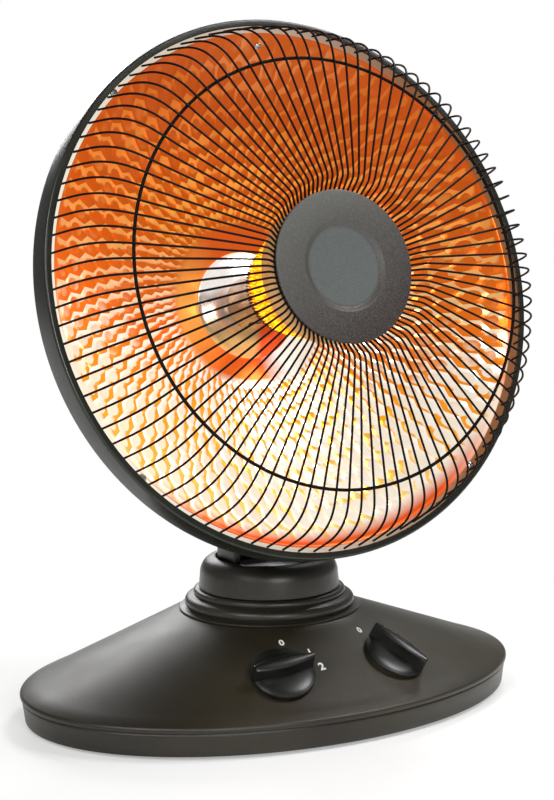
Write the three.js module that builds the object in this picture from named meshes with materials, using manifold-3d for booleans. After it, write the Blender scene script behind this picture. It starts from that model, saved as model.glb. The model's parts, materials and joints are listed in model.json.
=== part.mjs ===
// Tabletop parabolic heater: an oval base with two knobs, a swivelling neck,
// a tilting dish with a glowing coil, and a domed guard of radial wires.
// Millimetres, +Z up. The origin is the middle of the base on the floor, and
// the heater faces -Y.

import * as THREE from 'three';
import { mergeVertices } from 'three/addons/utils/BufferGeometryUtils.js';
import Module from 'manifold-3d';

const wasm = await Module();
wasm.setup();

// ---------------------------------------------------------------- sizes

// Clearances
const seatGap = 0.3; // between fastened pieces
const runGap = 0.3; // round a pin or shaft that turns

// Base cover and what closes it underneath
const baseHalfWidth = 186;
const baseHalfDepth = 132;
const coverFoot = 2.6; // height of the cover's lower edge
const coverWall = 2.4;
const ridgeHeight = 21;
const ridgeRound = 2.6;
const ridgeSpan = [-35, 45]; // degrees of the ridge's round, from below to above
const ridgeCorners = 3;
const ridgeDrop = 0.6;
const grooveInset = 1.6; // the side wall lies this far inside the ridge
const grooveRelief = 0.4;
const grooveTop = 2.8; // below the ridge
const grooveFoot = 4.4;
const footLean = 3.4; // the lower edge lies this far inside the ridge
const neckRadius = 65;
const neckHeight = 66.5;
const plateThickness = 2;
const plateLift = 3.2;
const ballastInset = [91, 72]; // from the cover's half width and half depth
const ballastHalfWidth = baseHalfWidth - ballastInset[0];
const ballastHalfDepth = baseHalfDepth - ballastInset[1];
const ballastThickness = 8;

// Feet and screws of the base
const footRadius = 9;
const footStem = 3;
const footInset = [76, 70]; // from the cover's half width and half depth
const footX = baseHalfWidth - footInset[0];
const footY = baseHalfDepth - footInset[1];
const coverScrewInset = [46, 97];
const coverScrewX = baseHalfWidth - coverScrewInset[0];
const coverScrewY = baseHalfDepth - coverScrewInset[1];
const coverScrewRadius = 2;
const coverScrewHead = 4.5;
const coverScrewHeadHeight = 1.9;
const coverScrewTop = 16;
const bossRadius = 5.5;

// Tip-over switch: a plunger that the floor holds in
const plungerInset = 68; // from the cover's half width
const plungerX = plungerInset - baseHalfWidth;
const plungerStem = 3;
const plungerButton = 5;
const plungerTop = 22;
const tipSwitchWidth = 24;
const tipSwitchTop = 30;

// Mains inlet in the rear wall
const inletHeight = 11.5;
const inletRadius = 5;
const inletBore = 3;
const inletFlange = 7;
const inletDepth = 11;

// Knobs on the front slope and the switches below them
const knobTurn = THREE.MathUtils.degToRad(69.6); // place round the base, from the X axis
const knobRise = 0.475; // share of the slope from the ridge to the neck
const knobRadius = 22;
const knobSkirt = 6;
const knobHeight = 16;
const knobGripWidth = 9;
const knobGripTail = 6;
const knobShaft = 3;
const knobSeatRadius = 20.5;
const knobSeatRise = 0.4;
const knobSeatDepth = 5;
const heatGripTurn = THREE.MathUtils.degToRad(3);
const swingGripTurn = THREE.MathUtils.degToRad(123);
const switchWidth = 24;
const switchLength = 21;
const switchDepth = 18;
const shaftReach = 12; // how far the shaft goes into the switch

// Neck: two stacked rings, a bearing and the turning spindle
const collarBore = 45.5;
const collarFlange = 64.6;
const lowerRingRadius = 60.6;
const lowerRingRound = 4.3;
const upperRingRadius = 54.2;
const upperRingRound = 2.6;
const bearingThickness = 3;
const bearingBore = 15;
const spindleRadius = 12;
const spindleBore = 8;
const spindleFlange = 43;
const spindleFlangeThickness = 3;
const spindleFoot = 42;
const nutRadius = 20;
const nutThickness = 6;

// Swivel cap and yoke
const capRadius = 50.1;
const capWall = 2.4;
const capTop = 104;
const capRound = 7; // of the shoulder below the top
const capLean = 1.4; // the wall narrows by this much towards the top
const capOpening = 38;
const yokePost = 30;
const yokeShoulder = 34;
const yokeFlangeThickness = 3.6;
const fluteRadius = 36.5;
const fluteDepth = 2.8;
const fluteCount = 12;
const fluteTop = 99;
const fluteHeight = 11;
const hingeRise = 21; // above the swivel cap
const hingeHeight = capTop + hingeRise;
const earGap = 60.4;
const earThickness = 5;
const earRadius = 12.5;
const hingeCapRadius = 12;
const hingeCapFlutes = 8;
const hingeCapWidth = 7.5;
const hingeCapFluteDepth = 1.2;
const hingeCapFace = 2.5; // closed end of the cap over the bolt
const hingeBoltRadius = 3.2;

// Swing drive: a crank pin in the slot of the swivel's lever
const swingAngle = THREE.MathUtils.degToRad(35);
const motorOffset = 32; // from the swivel axis, towards the back
const crankThrow = motorOffset * Math.tan(swingAngle);
const motorRadius = 24;
const motorHeight = 22;
const motorShaft = 3;
const motorEar = 30;
const motorEarDepth = 12;
const motorEarThickness = 2.5;
const motorScrewRadius = 1.6;
const motorScrewHead = 3;
const motorScrewHeadHeight = 1.8;
const motorScrewLength = 8;
const crankHub = 7;
const crankThickness = 4;
const crankPin = 2.5;
const crankEnd = 2; // metal round the pin
const crankPinClearance = 0.8;
const leverThickness = 4;
const leverHub = 18;
const leverHalfWidth = 8;
const leverEnd = 4; // metal left past the slot
const leverLift = 2; // above the crank
const slotSpare = 0.5; // the slot runs this far past the pin's travel

// Dish, in its own frame: Z out of the dish, Y up along its rim plane
const restTilt = THREE.MathUtils.degToRad(14.7); // the dish looks up by this much
const hingeBelowAxis = 157.2;
const hingeBehindRim = 90.2;
const bandRadius = 188;
const bandWall = 1.2;
const bandLipWidth = 5; // the front edge is rolled inwards by this much
const bandLip = bandRadius - bandLipWidth;
const bandHemWidth = 2.6; // and the back edge by this much
const bandHem = bandRadius - bandHemWidth;
const bandFront = 2.5;
const bandDepth = 18;
const bandClearance = 0.5; // from what the band wraps
const sheet = 1; // reflector sheet
const flangeRadius = bandRadius - bandWall - bandClearance;
const flangeWidth = 8.7;
const flangeFront = -2.4;
const reflectorRim = flangeRadius - flangeWidth;
const reflectorRimDepth = 4.2; // below the rim plane, where the flange's step starts
const reflectorVertex = 81.5; // depth of the paraboloid below the rim plane
const reflectorFocus = reflectorRim ** 2 / (4 * (reflectorVertex - reflectorRimDepth));
const reflectorStep = 0.6;
const reflectorHole = 22;
const shellSheet = 0.8;
const shellWall = bandHem - bandClearance;
const shellLipWidth = 5.5;
const shellLip = shellWall - shellLipWidth;
const shellBack = 96;
const rimScrewInset = 4.9; // from the flange's edge
const rimScrewRadius = flangeRadius - rimScrewInset;
const rimScrewCount = 4;
const rimScrewTurn = THREE.MathUtils.degToRad(41.25);
const rimScrewHead = 2.9;
const rimScrewHeadHeight = 1.6;
const rimScrewShank = 1.2;
const rimScrewLength = 4;
const topScrewInset = 5.6; // from the paraboloid's rim
const topScrewRadius = reflectorRim - topScrewInset;
const topScrewShank = 0.96;
const topScrewLength = 3;
const bandPlateLength = 20;
const bandPlateWidth = 9;
const bandPlateThickness = 0.8;

// Arm from the hinge to the shell, and the cover over the terminals
const armWidth = 32;
const armBack = 108;
const armFlat = [-120, -60]; // from, to: the part that lies behind the shell
const armFlatDepth = 28;
const armNeck = [[-110, -60], [-128, -62]]; // its inner edge, down to the hinge
const armScrewRadius = 2;
const armScrewHead = 4;
const armScrewHeadHeight = 2.4;
const armScrewLength = 31;
const armScrewHeights = [-75, -104];
const rearCoverRadius = 44;
const rearCoverDepth = 18;
const rearCoverWall = 2;
const rearCoverLean = 3;
const rearScrewSpread = 34;
const rearScrewHead = 3.6;
const rearScrewHeadHeight = 2;

// Heating element
const socketRadius = 39;
const socketNeck = 21.7;
const socketThickness = 2.4;
const socketFront = -70;
const socketTail = 104;
const coreNeck = 19.5;
const coreNeckTop = -46;
const coilWireRadius = 2.3; // outer radius of the curled wire
const coilClearance = 1.3;
const coilTurns = 7;
const coilSteps = 16;
const coilSides = 5;
const coilStartRadius = 29.5;
const coilStart = -19.8;
const coilCone = 0.2875; // growth of the radius per millimetre forward
const coilBend = 4;
const coreFlangeBack = 32.5;
const coreFlangeRadius = 50;
const coreFlangeStart = 47.5;
const coreFront = 50;
const coreBoreFront = 36;
const coreBoreBack = 18;

// Guard: radial wires with a ring behind the hub and a ring near the rim
const wireCount = 96;
const wireRadius = 1;
const innerRing = [46.5, 48.5, 55.5]; // from, to, and height in front of the rim
const wireKink = [61.8, 65.5];
const middleRingInset = 43.2; // from the rim band's outside
const middleRingWidth = 2.3;
const middleRingFrom = bandRadius - middleRingInset;
const middleRing = [middleRingFrom, middleRingFrom + middleRingWidth, 48.3, 47.9];
const wireShoulder = [bandRadius - 24, 42.6];
const wireBend = [bandRadius - 12.8, 25.5];
const wireEnd = [bandLip - 1.4, -0.6];

// Hub on the guard
const hubRadius = 52;
const hubFront = 61.6;
const hubThickness = 2.2;
const hubDishRadius = 29;
const hubDishDepth = 1.2;
const hubBoss = 12;
const hubPlateRadius = 50;
const hubPlateThickness = 1.5;
const hubScrewRadius = 2.5;
const hubScrewHead = 5;
const hubScrewHeadHeight = 2;

// Smoothness of round pieces
const rimSides = 48;
const dishSides = 36;
const roundSides = 24;
const smallSides = 12;
const pinSides = 6;
const turningSides = 12; // pins, shafts and bores that turn on each other

// ---------------------------------------------------------------- colours

function surface(color, roughness, metalness) {
  return new THREE.MeshStandardMaterial({ color, roughness, metalness });
}

const moulding = surface(0x34342b, 0.55, 0);
const gloss = surface(0x14140f, 0.3, 0);
const paint = surface(0x15150f, 0.4, 0.2);
const olivePaint = surface(0x38392b, 0.45, 0.2);
const hubPaint = surface(0x4b4a44, 0.75, 0.1);
const wirePaint = surface(0x120d0a, 0.4, 0.3);
const mirror = surface(0xe88640, 0.18, 0.9);
const ceramic = surface(0xc79a5c, 0.7, 0);
const socketMetal = surface(0xb9b2a6, 0.25, 0.8);
const glow = surface(0xffc414, 0.6, 0);
const steel = surface(0xa9a9a4, 0.35, 0.9);
const rubber = surface(0x1a1a1a, 0.9, 0);
const nylon = surface(0xe4e1d6, 0.6, 0);
const motorShell = surface(0x7c7c7c, 0.5, 0.6);
const switchShell = surface(0x2a2a2a, 0.6, 0);

// ---------------------------------------------------------------- solids

// Shared corners, no collapsed triangles, faces pointing out.
function closed(geometry) {
  geometry.deleteAttribute('normal');
  geometry.deleteAttribute('uv');
  const welded = mergeVertices(geometry, 1e-4);
  const corners = welded.getIndex().array;
  const spot = welded.getAttribute('position');
  const kept = [];
  let volume = 0;
  const [a, b, c] = [new THREE.Vector3(), new THREE.Vector3(), new THREE.Vector3()];
  for (let i = 0; i < corners.length; i += 3) {
    const [p, q, r] = [corners[i], corners[i + 1], corners[i + 2]];
    if (p === q || q === r || r === p) continue;
    a.fromBufferAttribute(spot, p);
    b.fromBufferAttribute(spot, q);
    c.fromBufferAttribute(spot, r);
    volume += a.dot(b.cross(c));
    kept.push([p, q, r]);
  }
  const facing = volume < 0 ? kept.map(([p, q, r]) => [p, r, q]) : kept;
  welded.setIndex(facing.flat());
  return welded;
}

function toSolid(geometry) {
  return new wasm.Manifold(new wasm.Mesh({
    numProp: 3,
    vertProperties: new Float32Array(geometry.getAttribute('position').array),
    triVerts: new Uint32Array(geometry.getIndex().array),
  }));
}

function toGeometry(solid) {
  const mesh = solid.getMesh();
  const geometry = new THREE.BufferGeometry();
  geometry.setAttribute('position', new THREE.BufferAttribute(mesh.vertProperties, mesh.numProp));
  geometry.setIndex(new THREE.BufferAttribute(mesh.triVerts, 1));
  return geometry;
}

function joined(...pieces) {
  return toGeometry(pieces.map(toSolid).reduce((whole, next) => whole.add(next)));
}

function cut(body, ...tools) {
  const whole = toSolid(body);
  return toGeometry(tools.map(toSolid).reduce((rest, tool) => rest.subtract(tool), whole));
}

// A closed outline of [radius, height] corners turned about Z.
function turned(outline, sides = roundSides) {
  const points = [...outline, outline[0]].map(([r, z]) => new THREE.Vector2(r, z));
  return closed(new THREE.LatheGeometry(points, sides).rotateX(Math.PI / 2));
}

// A rod or disc along Z.
function rod(radius, from, to, sides = pinSides) {
  const bar = new THREE.CylinderGeometry(radius, radius, to - from, sides);
  return closed(bar.rotateX(Math.PI / 2).translate(0, 0, (from + to) / 2));
}

function tube(radius, bore, from, to, sides = roundSides) {
  return turned([[bore, from], [radius, from], [radius, to], [bore, to]], sides);
}

function block(width, depth, height, x = 0, y = 0, z = 0) {
  return closed(new THREE.BoxGeometry(width, depth, height).translate(x, y, z));
}

// A flat outline in XY raised from one height to another.
function raised(shape, from, to) {
  const flat = { depth: to - from, bevelEnabled: false, curveSegments: pinSides / 2 };
  return closed(new THREE.ExtrudeGeometry(shape, flat).translate(0, 0, from));
}

// An outline in the YZ plane given thickness along X.
function acrossX(shape, from, to) {
  const turn = new THREE.Matrix4().makeBasis(
    new THREE.Vector3(0, 1, 0),
    new THREE.Vector3(0, 0, 1),
    new THREE.Vector3(1, 0, 0),
  );
  return raised(shape, from, to).applyMatrix4(turn);
}

function shapeOf(points) {
  return new THREE.Shape(points.map(([x, y]) => new THREE.Vector2(x, y)));
}

function oval(halfWidth, halfDepth, sides, x = 0, y = 0) {
  const corners = [];
  for (let i = 0; i < sides; i += 1) {
    const angle = (i / sides) * Math.PI * 2;
    corners.push(new THREE.Vector2(x + halfWidth * Math.cos(angle), y + halfDepth * Math.sin(angle)));
  }
  return corners;
}

function roundHole(shape, x, y, radius, sides = pinSides) {
  shape.holes.push(new THREE.Path(oval(radius, radius, sides, x, y)));
}

// A round outline whose radius steps in and out, one lobe per count.
function fluted(radius, depth, lobes) {
  const steps = lobes * 2;
  const corners = [];
  for (let i = 0; i < steps; i += 1) {
    const angle = (i / steps) * Math.PI * 2;
    const swing = (1 - Math.cos(angle * lobes)) / 2;
    const reach = radius - depth * swing;
    corners.push([reach * Math.cos(angle), reach * Math.sin(angle)]);
  }
  return shapeOf(corners);
}

// Rings of the same number of corners, joined in order and back to the first.
function loopOfRings(rings) {
  const count = rings[0].length;
  const positions = rings.flat(2);
  const corners = [];
  for (let ring = 0; ring < rings.length; ring += 1) {
    const next = (ring + 1) % rings.length;
    for (let i = 0; i < count; i += 1) {
      const j = (i + 1) % count;
      const [a, b] = [ring * count + i, ring * count + j];
      const [c, d] = [next * count + i, next * count + j];
      corners.push(a, b, d, a, d, c);
    }
  }
  return closed(indexed(positions, corners));
}

function indexed(positions, corners) {
  const geometry = new THREE.BufferGeometry();
  geometry.setAttribute('position', new THREE.Float32BufferAttribute(positions, 3));
  geometry.setIndex(corners);
  return geometry;
}

// An oval outline turned about Z: each level is [half width, half depth, height].
function ovalTurned(levels, sides) {
  return loopOfRings(levels.map(([halfWidth, halfDepth, z]) => {
    const ring = [];
    for (let i = 0; i < sides; i += 1) {
      const angle = (i / sides) * Math.PI * 2;
      ring.push([halfWidth * Math.cos(angle), halfDepth * Math.sin(angle), z]);
    }
    return ring;
  }));
}

// Part of a circle as [radius, height] corners.
function arc(r, z, radius, fromDegrees, toDegrees, steps) {
  const corners = [];
  for (let i = 0; i <= steps; i += 1) {
    const degrees = fromDegrees + (toDegrees - fromDegrees) * (i / steps);
    const angle = THREE.MathUtils.degToRad(degrees);
    corners.push([r + radius * Math.cos(angle), z + radius * Math.sin(angle)]);
  }
  return corners;
}

// ---------------------------------------------------------------- assembly

const heater = new THREE.Group();
const head = new THREE.Group();
head.position.set(0, 0, hingeHeight);
head.rotation.x = Math.PI / 2 - restTilt;
heater.add(head);
const dish = new THREE.Group();
dish.position.set(0, hingeBelowAxis, hingeBehindRim);
head.add(dish);

function piece(group, name, geometry, material) {
  const mesh = new THREE.Mesh(geometry, material);
  mesh.name = name;
  group.add(mesh);
  return mesh;
}

// A screw along +Z: its head ends at z = 0 and its shank goes up.
function screw(headRadius, headHeight, shankRadius, shankLength) {
  return turned([
    [0, -headHeight],
    [headRadius, -headHeight],
    [headRadius, 0],
    [shankRadius, 0],
    [shankRadius, shankLength],
    [0, shankLength],
  ], pinSides);
}

// ---------------------------------------------------------------- base

// The slope runs straight from the ridge to the neck, with oval sections.
const slopeFootInset = ridgeRound;
const slopeFootHeight = ridgeHeight + ridgeRound * 0.7;

function slopeSection(share) {
  const mix = THREE.MathUtils.lerp;
  return [
    mix(baseHalfWidth - slopeFootInset, neckRadius, share),
    mix(baseHalfDepth - slopeFootInset, neckRadius, share),
    mix(slopeFootHeight, neckHeight, share),
  ];
}

function slopePoint(angle, share) {
  const [halfWidth, halfDepth, z] = slopeSection(share);
  return new THREE.Vector3(halfWidth * Math.cos(angle), halfDepth * Math.sin(angle), z);
}

function slopeNormal(angle, share) {
  const step = 1e-3;
  const round = slopePoint(angle + step, share).sub(slopePoint(angle - step, share));
  const up = slopePoint(angle, share + step).sub(slopePoint(angle, share - step));
  return round.cross(up).normalize();
}

// Height of the cover's outer surface above a spot on the slope.
function slopeHeight(x, y) {
  let [low, high] = [0, 1];
  for (let i = 0; i < 30; i += 1) {
    const middle = (low + high) / 2;
    const [halfWidth, halfDepth] = slopeSection(middle);
    const outside = (x / halfWidth) ** 2 + (y / halfDepth) ** 2 > 1;
    if (outside) high = middle;
    else low = middle;
  }
  return slopeSection(low)[2];
}

// Places what lies along +Z onto the slope, square to it.
function ontoSlope(side) {
  const angle = side < 0 ? Math.PI + knobTurn : -knobTurn;
  const place = slopePoint(angle, knobRise);
  const turn = new THREE.Quaternion().setFromUnitVectors(
    new THREE.Vector3(0, 0, 1),
    slopeNormal(angle, knobRise),
  );
  return new THREE.Matrix4().compose(place, turn, new THREE.Vector3(1, 1, 1));
}

function corners(x, y) {
  return [[-x, -y], [x, -y], [x, y], [-x, y]];
}

const plateTop = plateLift + plateThickness;
const neckFloor = neckHeight - coverWall;
const spindleHole = spindleRadius + runGap;

function coverLevels() {
  const inset = (amount, z) => [baseHalfWidth - amount, baseHalfDepth - amount, z];
  const bead = arc(-ridgeRound, ridgeHeight - ridgeDrop, ridgeRound, ...ridgeSpan, ridgeCorners - 1)
    .map(([outward, z]) => inset(-outward, z));
  return [
    inset(footLean, coverFoot),
    inset(grooveInset - grooveRelief, ridgeHeight - grooveFoot),
    inset(grooveInset + grooveRelief, ridgeHeight - grooveTop),
    ...bead,
    [neckRadius, neckRadius, neckHeight],
    [spindleHole, spindleHole, neckHeight],
    [spindleHole, spindleHole, neckFloor],
    [neckRadius - coverWall, neckRadius - coverWall, neckFloor],
    inset(slopeFootInset + coverWall * 1.2, slopeFootHeight - coverWall * 1.4),
    inset(grooveInset + coverWall, ridgeHeight - grooveFoot),
    inset(footLean + coverWall, coverFoot),
  ];
}

function baseCover() {
  const shell = ovalTurned(coverLevels(), dishSides);
  const bosses = corners(coverScrewX, coverScrewY).map(([x, y]) => {
    const top = slopeHeight(x, y) - coverWall * 0.8;
    return rod(bossRadius, plateTop + seatGap, top).translate(x, y, 0);
  });
  const bores = corners(coverScrewX, coverScrewY).map(([x, y]) => (
    rod(coverScrewRadius + seatGap, coverFoot, coverScrewTop + 1).translate(x, y, 0)
  ));
  const seats = [-1, 1].map((side) => (
    rod(knobSeatRadius, -knobSeatDepth, knobSeatRise, smallSides).applyMatrix4(ontoSlope(side))
  ));
  const shafts = [-1, 1].map((side) => (
    rod(knobShaft + runGap, -knobSeatDepth - 5, knobSeatRise + 5, turningSides)
      .applyMatrix4(ontoSlope(side))
  ));
  const inlet = rod(inletRadius + seatGap, baseHalfDepth - inletDepth, baseHalfDepth + 5, smallSides)
    .rotateX(-Math.PI / 2).translate(0, 0, inletHeight);
  return cut(joined(shell, ...bosses, ...seats), ...bores, ...shafts, inlet);
}

function basePlate() {
  const margin = footLean + coverWall + seatGap * 2;
  const shape = new THREE.Shape(oval(baseHalfWidth - margin, baseHalfDepth - margin, dishSides));
  corners(footX, footY)
    .forEach(([x, y]) => roundHole(shape, x, y, footStem + seatGap, smallSides));
  corners(coverScrewX, coverScrewY)
    .forEach(([x, y]) => roundHole(shape, x, y, coverScrewRadius + seatGap));
  roundHole(shape, plungerX, 0, plungerStem + runGap, smallSides);
  return raised(shape, plateLift, plateTop);
}

function ballast() {
  const shape = new THREE.Shape(oval(ballastHalfWidth, ballastHalfDepth, roundSides));
  [-motorEar, motorEar]
    .forEach((x) => roundHole(shape, x, motorOffset, motorScrewRadius + seatGap));
  return raised(shape, ballastBottom, ballastTop);
}

const ballastBottom = plateTop + seatGap;
const ballastTop = ballastBottom + ballastThickness;
const motorBottom = ballastTop + seatGap;

piece(heater, 'base_cover', baseCover(), moulding);
piece(heater, 'base_plate', basePlate(), paint);
piece(heater, 'ballast', ballast(), steel);

corners(footX, footY).forEach(([x, y], index) => {
  const foot = turned([
    [0, 0],
    [footRadius, 0],
    [footRadius, plateLift - seatGap],
    [footStem, plateLift - seatGap],
    [footStem, plateTop + 3],
    [0, plateTop + 3],
  ], smallSides);
  piece(heater, `foot_${index + 1}`, foot, rubber).position.set(x, y, 0);
});

corners(coverScrewX, coverScrewY).forEach(([x, y], index) => {
  const headTop = plateLift - seatGap;
  const shape = screw(coverScrewHead, coverScrewHeadHeight, coverScrewRadius, coverScrewTop - headTop);
  piece(heater, `base_screw_${index + 1}`, shape, steel).position.set(x, y, headTop);
});

// Tip-over switch
function tipPlunger() {
  const buttonTop = plateLift - seatGap;
  return turned([
    [0, 0],
    [plungerButton, 0],
    [plungerButton, buttonTop],
    [plungerStem, buttonTop],
    [plungerStem, plungerTop],
    [0, plungerTop],
  ], smallSides);
}

function tipSwitch() {
  const bottom = plateTop + seatGap;
  const height = tipSwitchTop - bottom;
  const body = block(tipSwitchWidth, tipSwitchWidth, height, 0, 0, bottom + height / 2);
  return cut(body, rod(plungerStem + runGap, bottom - 1, plungerTop + 2, smallSides));
}

piece(heater, 'tip_plunger', tipPlunger(), rubber).position.set(plungerX, 0, 0);
piece(heater, 'tip_switch', tipSwitch(), switchShell).position.set(plungerX, 0, 0);

// Mains inlet
function inletGland() {
  const wallFace = baseHalfDepth - grooveInset + seatGap + 0.4;
  const outline = [
    [inletBore, wallFace - inletDepth],
    [inletRadius, wallFace - inletDepth],
    [inletRadius, wallFace],
    [inletFlange, wallFace],
    [inletFlange - 0.5, baseHalfDepth - 0.2],
    [inletBore, baseHalfDepth - 0.2],
  ];
  return turned(outline, smallSides).rotateX(-Math.PI / 2);
}

piece(heater, 'cord_gland', inletGland(), gloss).position.set(0, 0, inletHeight);

// Knobs and switches
function knob(gripTurn) {
  const bottom = knobSeatRise + runGap;
  const skirt = turned([
    [0, bottom],
    [knobRadius, bottom],
    [knobRadius, bottom + knobSkirt * 0.4],
    [knobRadius * 0.93, bottom + knobSkirt * 0.7],
    [knobRadius * 0.6, bottom + knobSkirt * 0.95],
    [0, bottom + knobSkirt],
  ], roundSides);
  const reach = knobRadius * 0.985;
  const shoulder = knobRadius * 0.8;
  const grip = raised(shapeOf([
    [-shoulder, -knobGripWidth / 2],
    [reach, -knobGripTail / 2],
    [reach, knobGripTail / 2],
    [-shoulder, knobGripWidth / 2],
    [-reach, knobGripWidth / 3],
    [-reach, -knobGripWidth / 3],
  ]), bottom + 1, knobHeight);
  const shaft = rod(knobShaft, -knobSeatDepth - shaftReach, bottom + 1, turningSides);
  return joined(skirt, grip, shaft).rotateZ(gripTurn);
}

function switchBody() {
  const top = -knobSeatDepth - seatGap;
  const body = block(switchWidth, switchLength, switchDepth, 0, 0, top - switchDepth / 2);
  return cut(body, rod(knobShaft + runGap, top - shaftReach - 1, top + 1, turningSides));
}

piece(heater, 'heat_knob', knob(heatGripTurn).applyMatrix4(ontoSlope(-1)), gloss);
piece(heater, 'swing_knob', knob(swingGripTurn).applyMatrix4(ontoSlope(1)), gloss);
piece(heater, 'heat_switch', switchBody().applyMatrix4(ontoSlope(-1)), switchShell);
piece(heater, 'swing_switch', switchBody().applyMatrix4(ontoSlope(1)), switchShell);

// ---------------------------------------------------------------- neck

const collarBottom = neckHeight + seatGap;
const lowerRingHeight = collarBottom + 5.2;
const upperRingHeight = lowerRingHeight + 6.9;
const collarTop = upperRingHeight + upperRingRound;
const bearingTop = collarBottom + bearingThickness;
const spindleFlangeBottom = bearingTop + runGap;
const spindleTop = spindleFlangeBottom + spindleFlangeThickness;
const yokeBottom = spindleTop + seatGap;
const capBottom = collarTop + runGap;

function neckCollar() {
  const lowerRing = [lowerRingRadius - lowerRingRound, lowerRingHeight];
  const upperRing = [upperRingRadius - upperRingRound, upperRingHeight];
  return turned([
    [collarBore, collarBottom],
    [collarFlange, collarBottom],
    [collarFlange, collarBottom + 1],
    ...arc(...lowerRing, lowerRingRound, -70, 75, 4),
    ...arc(...upperRing, upperRingRound, -45, 90, 2),
    [collarBore, collarTop],
  ]);
}

piece(heater, 'neck_collar', neckCollar(), moulding);
piece(
  heater,
  'bearing_ring',
  tube(collarBore - seatGap, bearingBore, collarBottom, bearingTop),
  nylon,
);

function spindle() {
  return turned([
    [spindleBore, spindleFoot],
    [spindleRadius, spindleFoot],
    [spindleRadius, spindleFlangeBottom],
    [spindleFlange, spindleFlangeBottom],
    [spindleFlange, spindleTop],
    [spindleBore, spindleTop],
  ], smallSides);
}

piece(heater, 'spindle', spindle(), steel);

const nutTop = neckFloor - runGap;
piece(
  heater,
  'retaining_nut',
  tube(nutRadius, spindleRadius + seatGap, nutTop - nutThickness, nutTop, smallSides),
  steel,
);

function swivelCap() {
  const crown = capTop - capRound - 2;
  const inner = capRadius - capWall;
  const shoulder = [capRadius - capLean - capRound, capTop - capRound];
  return turned([
    [yokePost + seatGap, capBottom],
    [capRadius, capBottom],
    [capRadius - capLean, crown],
    ...arc(...shoulder, capRound, 25, 90, 2),
    [capOpening, capTop - 0.6],
    [capOpening, capTop - capWall],
    [shoulder[0] - 0.6, capTop - capWall],
    [inner - capLean - 1, crown - 1],
    [inner, capBottom + capWall],
    [yokePost + seatGap, capBottom + capWall],
  ]);
}

piece(heater, 'swivel_cap', swivelCap(), moulding);

const earInner = earGap / 2;
const earOuter = earInner + earThickness;

function yokeEar(from, to) {
  const foot = fluteTop - 3;
  const shape = new THREE.Shape();
  shape.moveTo(-earRadius, foot);
  shape.lineTo(earRadius, foot);
  shape.lineTo(earRadius, hingeHeight);
  shape.absarc(0, hingeHeight, earRadius, 0, Math.PI);
  shape.lineTo(-earRadius, foot);
  roundHole(shape, 0, hingeHeight, hingeBoltRadius + runGap, turningSides);
  return acrossX(shape, from, to);
}

function yoke() {
  const flangeTop = yokeBottom + yokeFlangeThickness;
  const shoulderTop = capBottom - seatGap;
  const post = turned([
    [spindleBore, yokeBottom],
    [spindleFlange, yokeBottom],
    [spindleFlange, flangeTop],
    [yokeShoulder, flangeTop],
    [yokeShoulder, shoulderTop],
    [yokePost, shoulderTop],
    [yokePost, fluteTop - fluteHeight / 2],
    [spindleBore, fluteTop - fluteHeight / 2],
  ]);
  const flutes = fluted(fluteRadius, fluteDepth, fluteCount);
  roundHole(flutes, 0, 0, spindleBore);
  return joined(
    post,
    raised(flutes, fluteTop - fluteHeight, fluteTop),
    yokeEar(earInner, earOuter),
    yokeEar(-earOuter, -earInner),
  );
}

piece(heater, 'yoke', yoke(), paint);

function hingeCap() {
  const disc = raised(
    fluted(hingeCapRadius, hingeCapFluteDepth, hingeCapFlutes),
    0,
    hingeCapWidth,
  );
  const depth = hingeCapWidth - hingeCapFace;
  return cut(disc, rod(hingeBoltRadius + seatGap, -1, depth, turningSides));
}

[-1, 1].forEach((side) => {
  const name = side < 0 ? 'hinge_cap_left' : 'hinge_cap_right';
  const cap = piece(heater, name, hingeCap(), gloss);
  cap.rotation.y = (side * Math.PI) / 2;
  cap.position.set(side * (earOuter + seatGap), 0, hingeHeight);
});

const boltReach = earOuter + hingeCapWidth - hingeCapFace;
piece(
  heater,
  'hinge_bolt',
  rod(hingeBoltRadius, -boltReach, boltReach, turningSides).rotateY(Math.PI / 2),
  steel,
).position.set(0, 0, hingeHeight);

// ---------------------------------------------------------------- swing drive

const motorTop = motorBottom + motorHeight;
const crankBottom = motorTop + seatGap;
const crankTop = crankBottom + crankThickness;
const leverBottom = crankTop + leverLift;
const leverTop = leverBottom + leverThickness;

function swingMotor() {
  const body = rod(motorRadius, motorBottom, motorTop, smallSides);
  const ears = block(
    motorEar * 2 + motorEarDepth,
    motorEarDepth,
    motorEarThickness,
    0,
    0,
    motorBottom + motorEarThickness / 2,
  );
  const shaft = rod(motorShaft, motorTop - 1, crankTop, turningSides);
  const holes = [-motorEar, motorEar].map((x) => (
    rod(motorScrewRadius + seatGap, motorBottom - 1, motorBottom + motorEarThickness + 1)
      .translate(x, 0, 0)
  ));
  return cut(joined(body, ears, shaft), ...holes);
}

piece(heater, 'swing_motor', swingMotor(), motorShell).position.set(0, motorOffset, 0);

[-motorEar, motorEar].forEach((x, index) => {
  const earTop = motorBottom + motorEarThickness + seatGap;
  const shape = screw(motorScrewHead, motorScrewHeadHeight, motorScrewRadius, motorScrewLength)
    .rotateX(Math.PI);
  piece(heater, `motor_screw_${index + 1}`, shape, steel).position.set(x, motorOffset, earTop);
});

function crank() {
  const hull = shapeOf([
    [-crankHub, 0],
    [-crankHub * 0.7, -crankHub * 0.7],
    [0, -crankHub],
    [crankHub * 0.7, -crankHub * 0.7],
    [crankHub, 0],
    [crankPin + crankEnd, crankThrow],
    [0, crankThrow + crankPin + crankEnd],
    [-crankPin - crankEnd, crankThrow],
  ]);
  roundHole(hull, 0, 0, motorShaft + runGap, turningSides);
  return joined(
    raised(hull, crankBottom, crankTop),
    rod(crankPin, crankTop - 1, leverTop + 1).translate(0, crankThrow, 0),
  );
}

piece(heater, 'crank', crank(), steel).position.set(0, motorOffset, 0);

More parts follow.
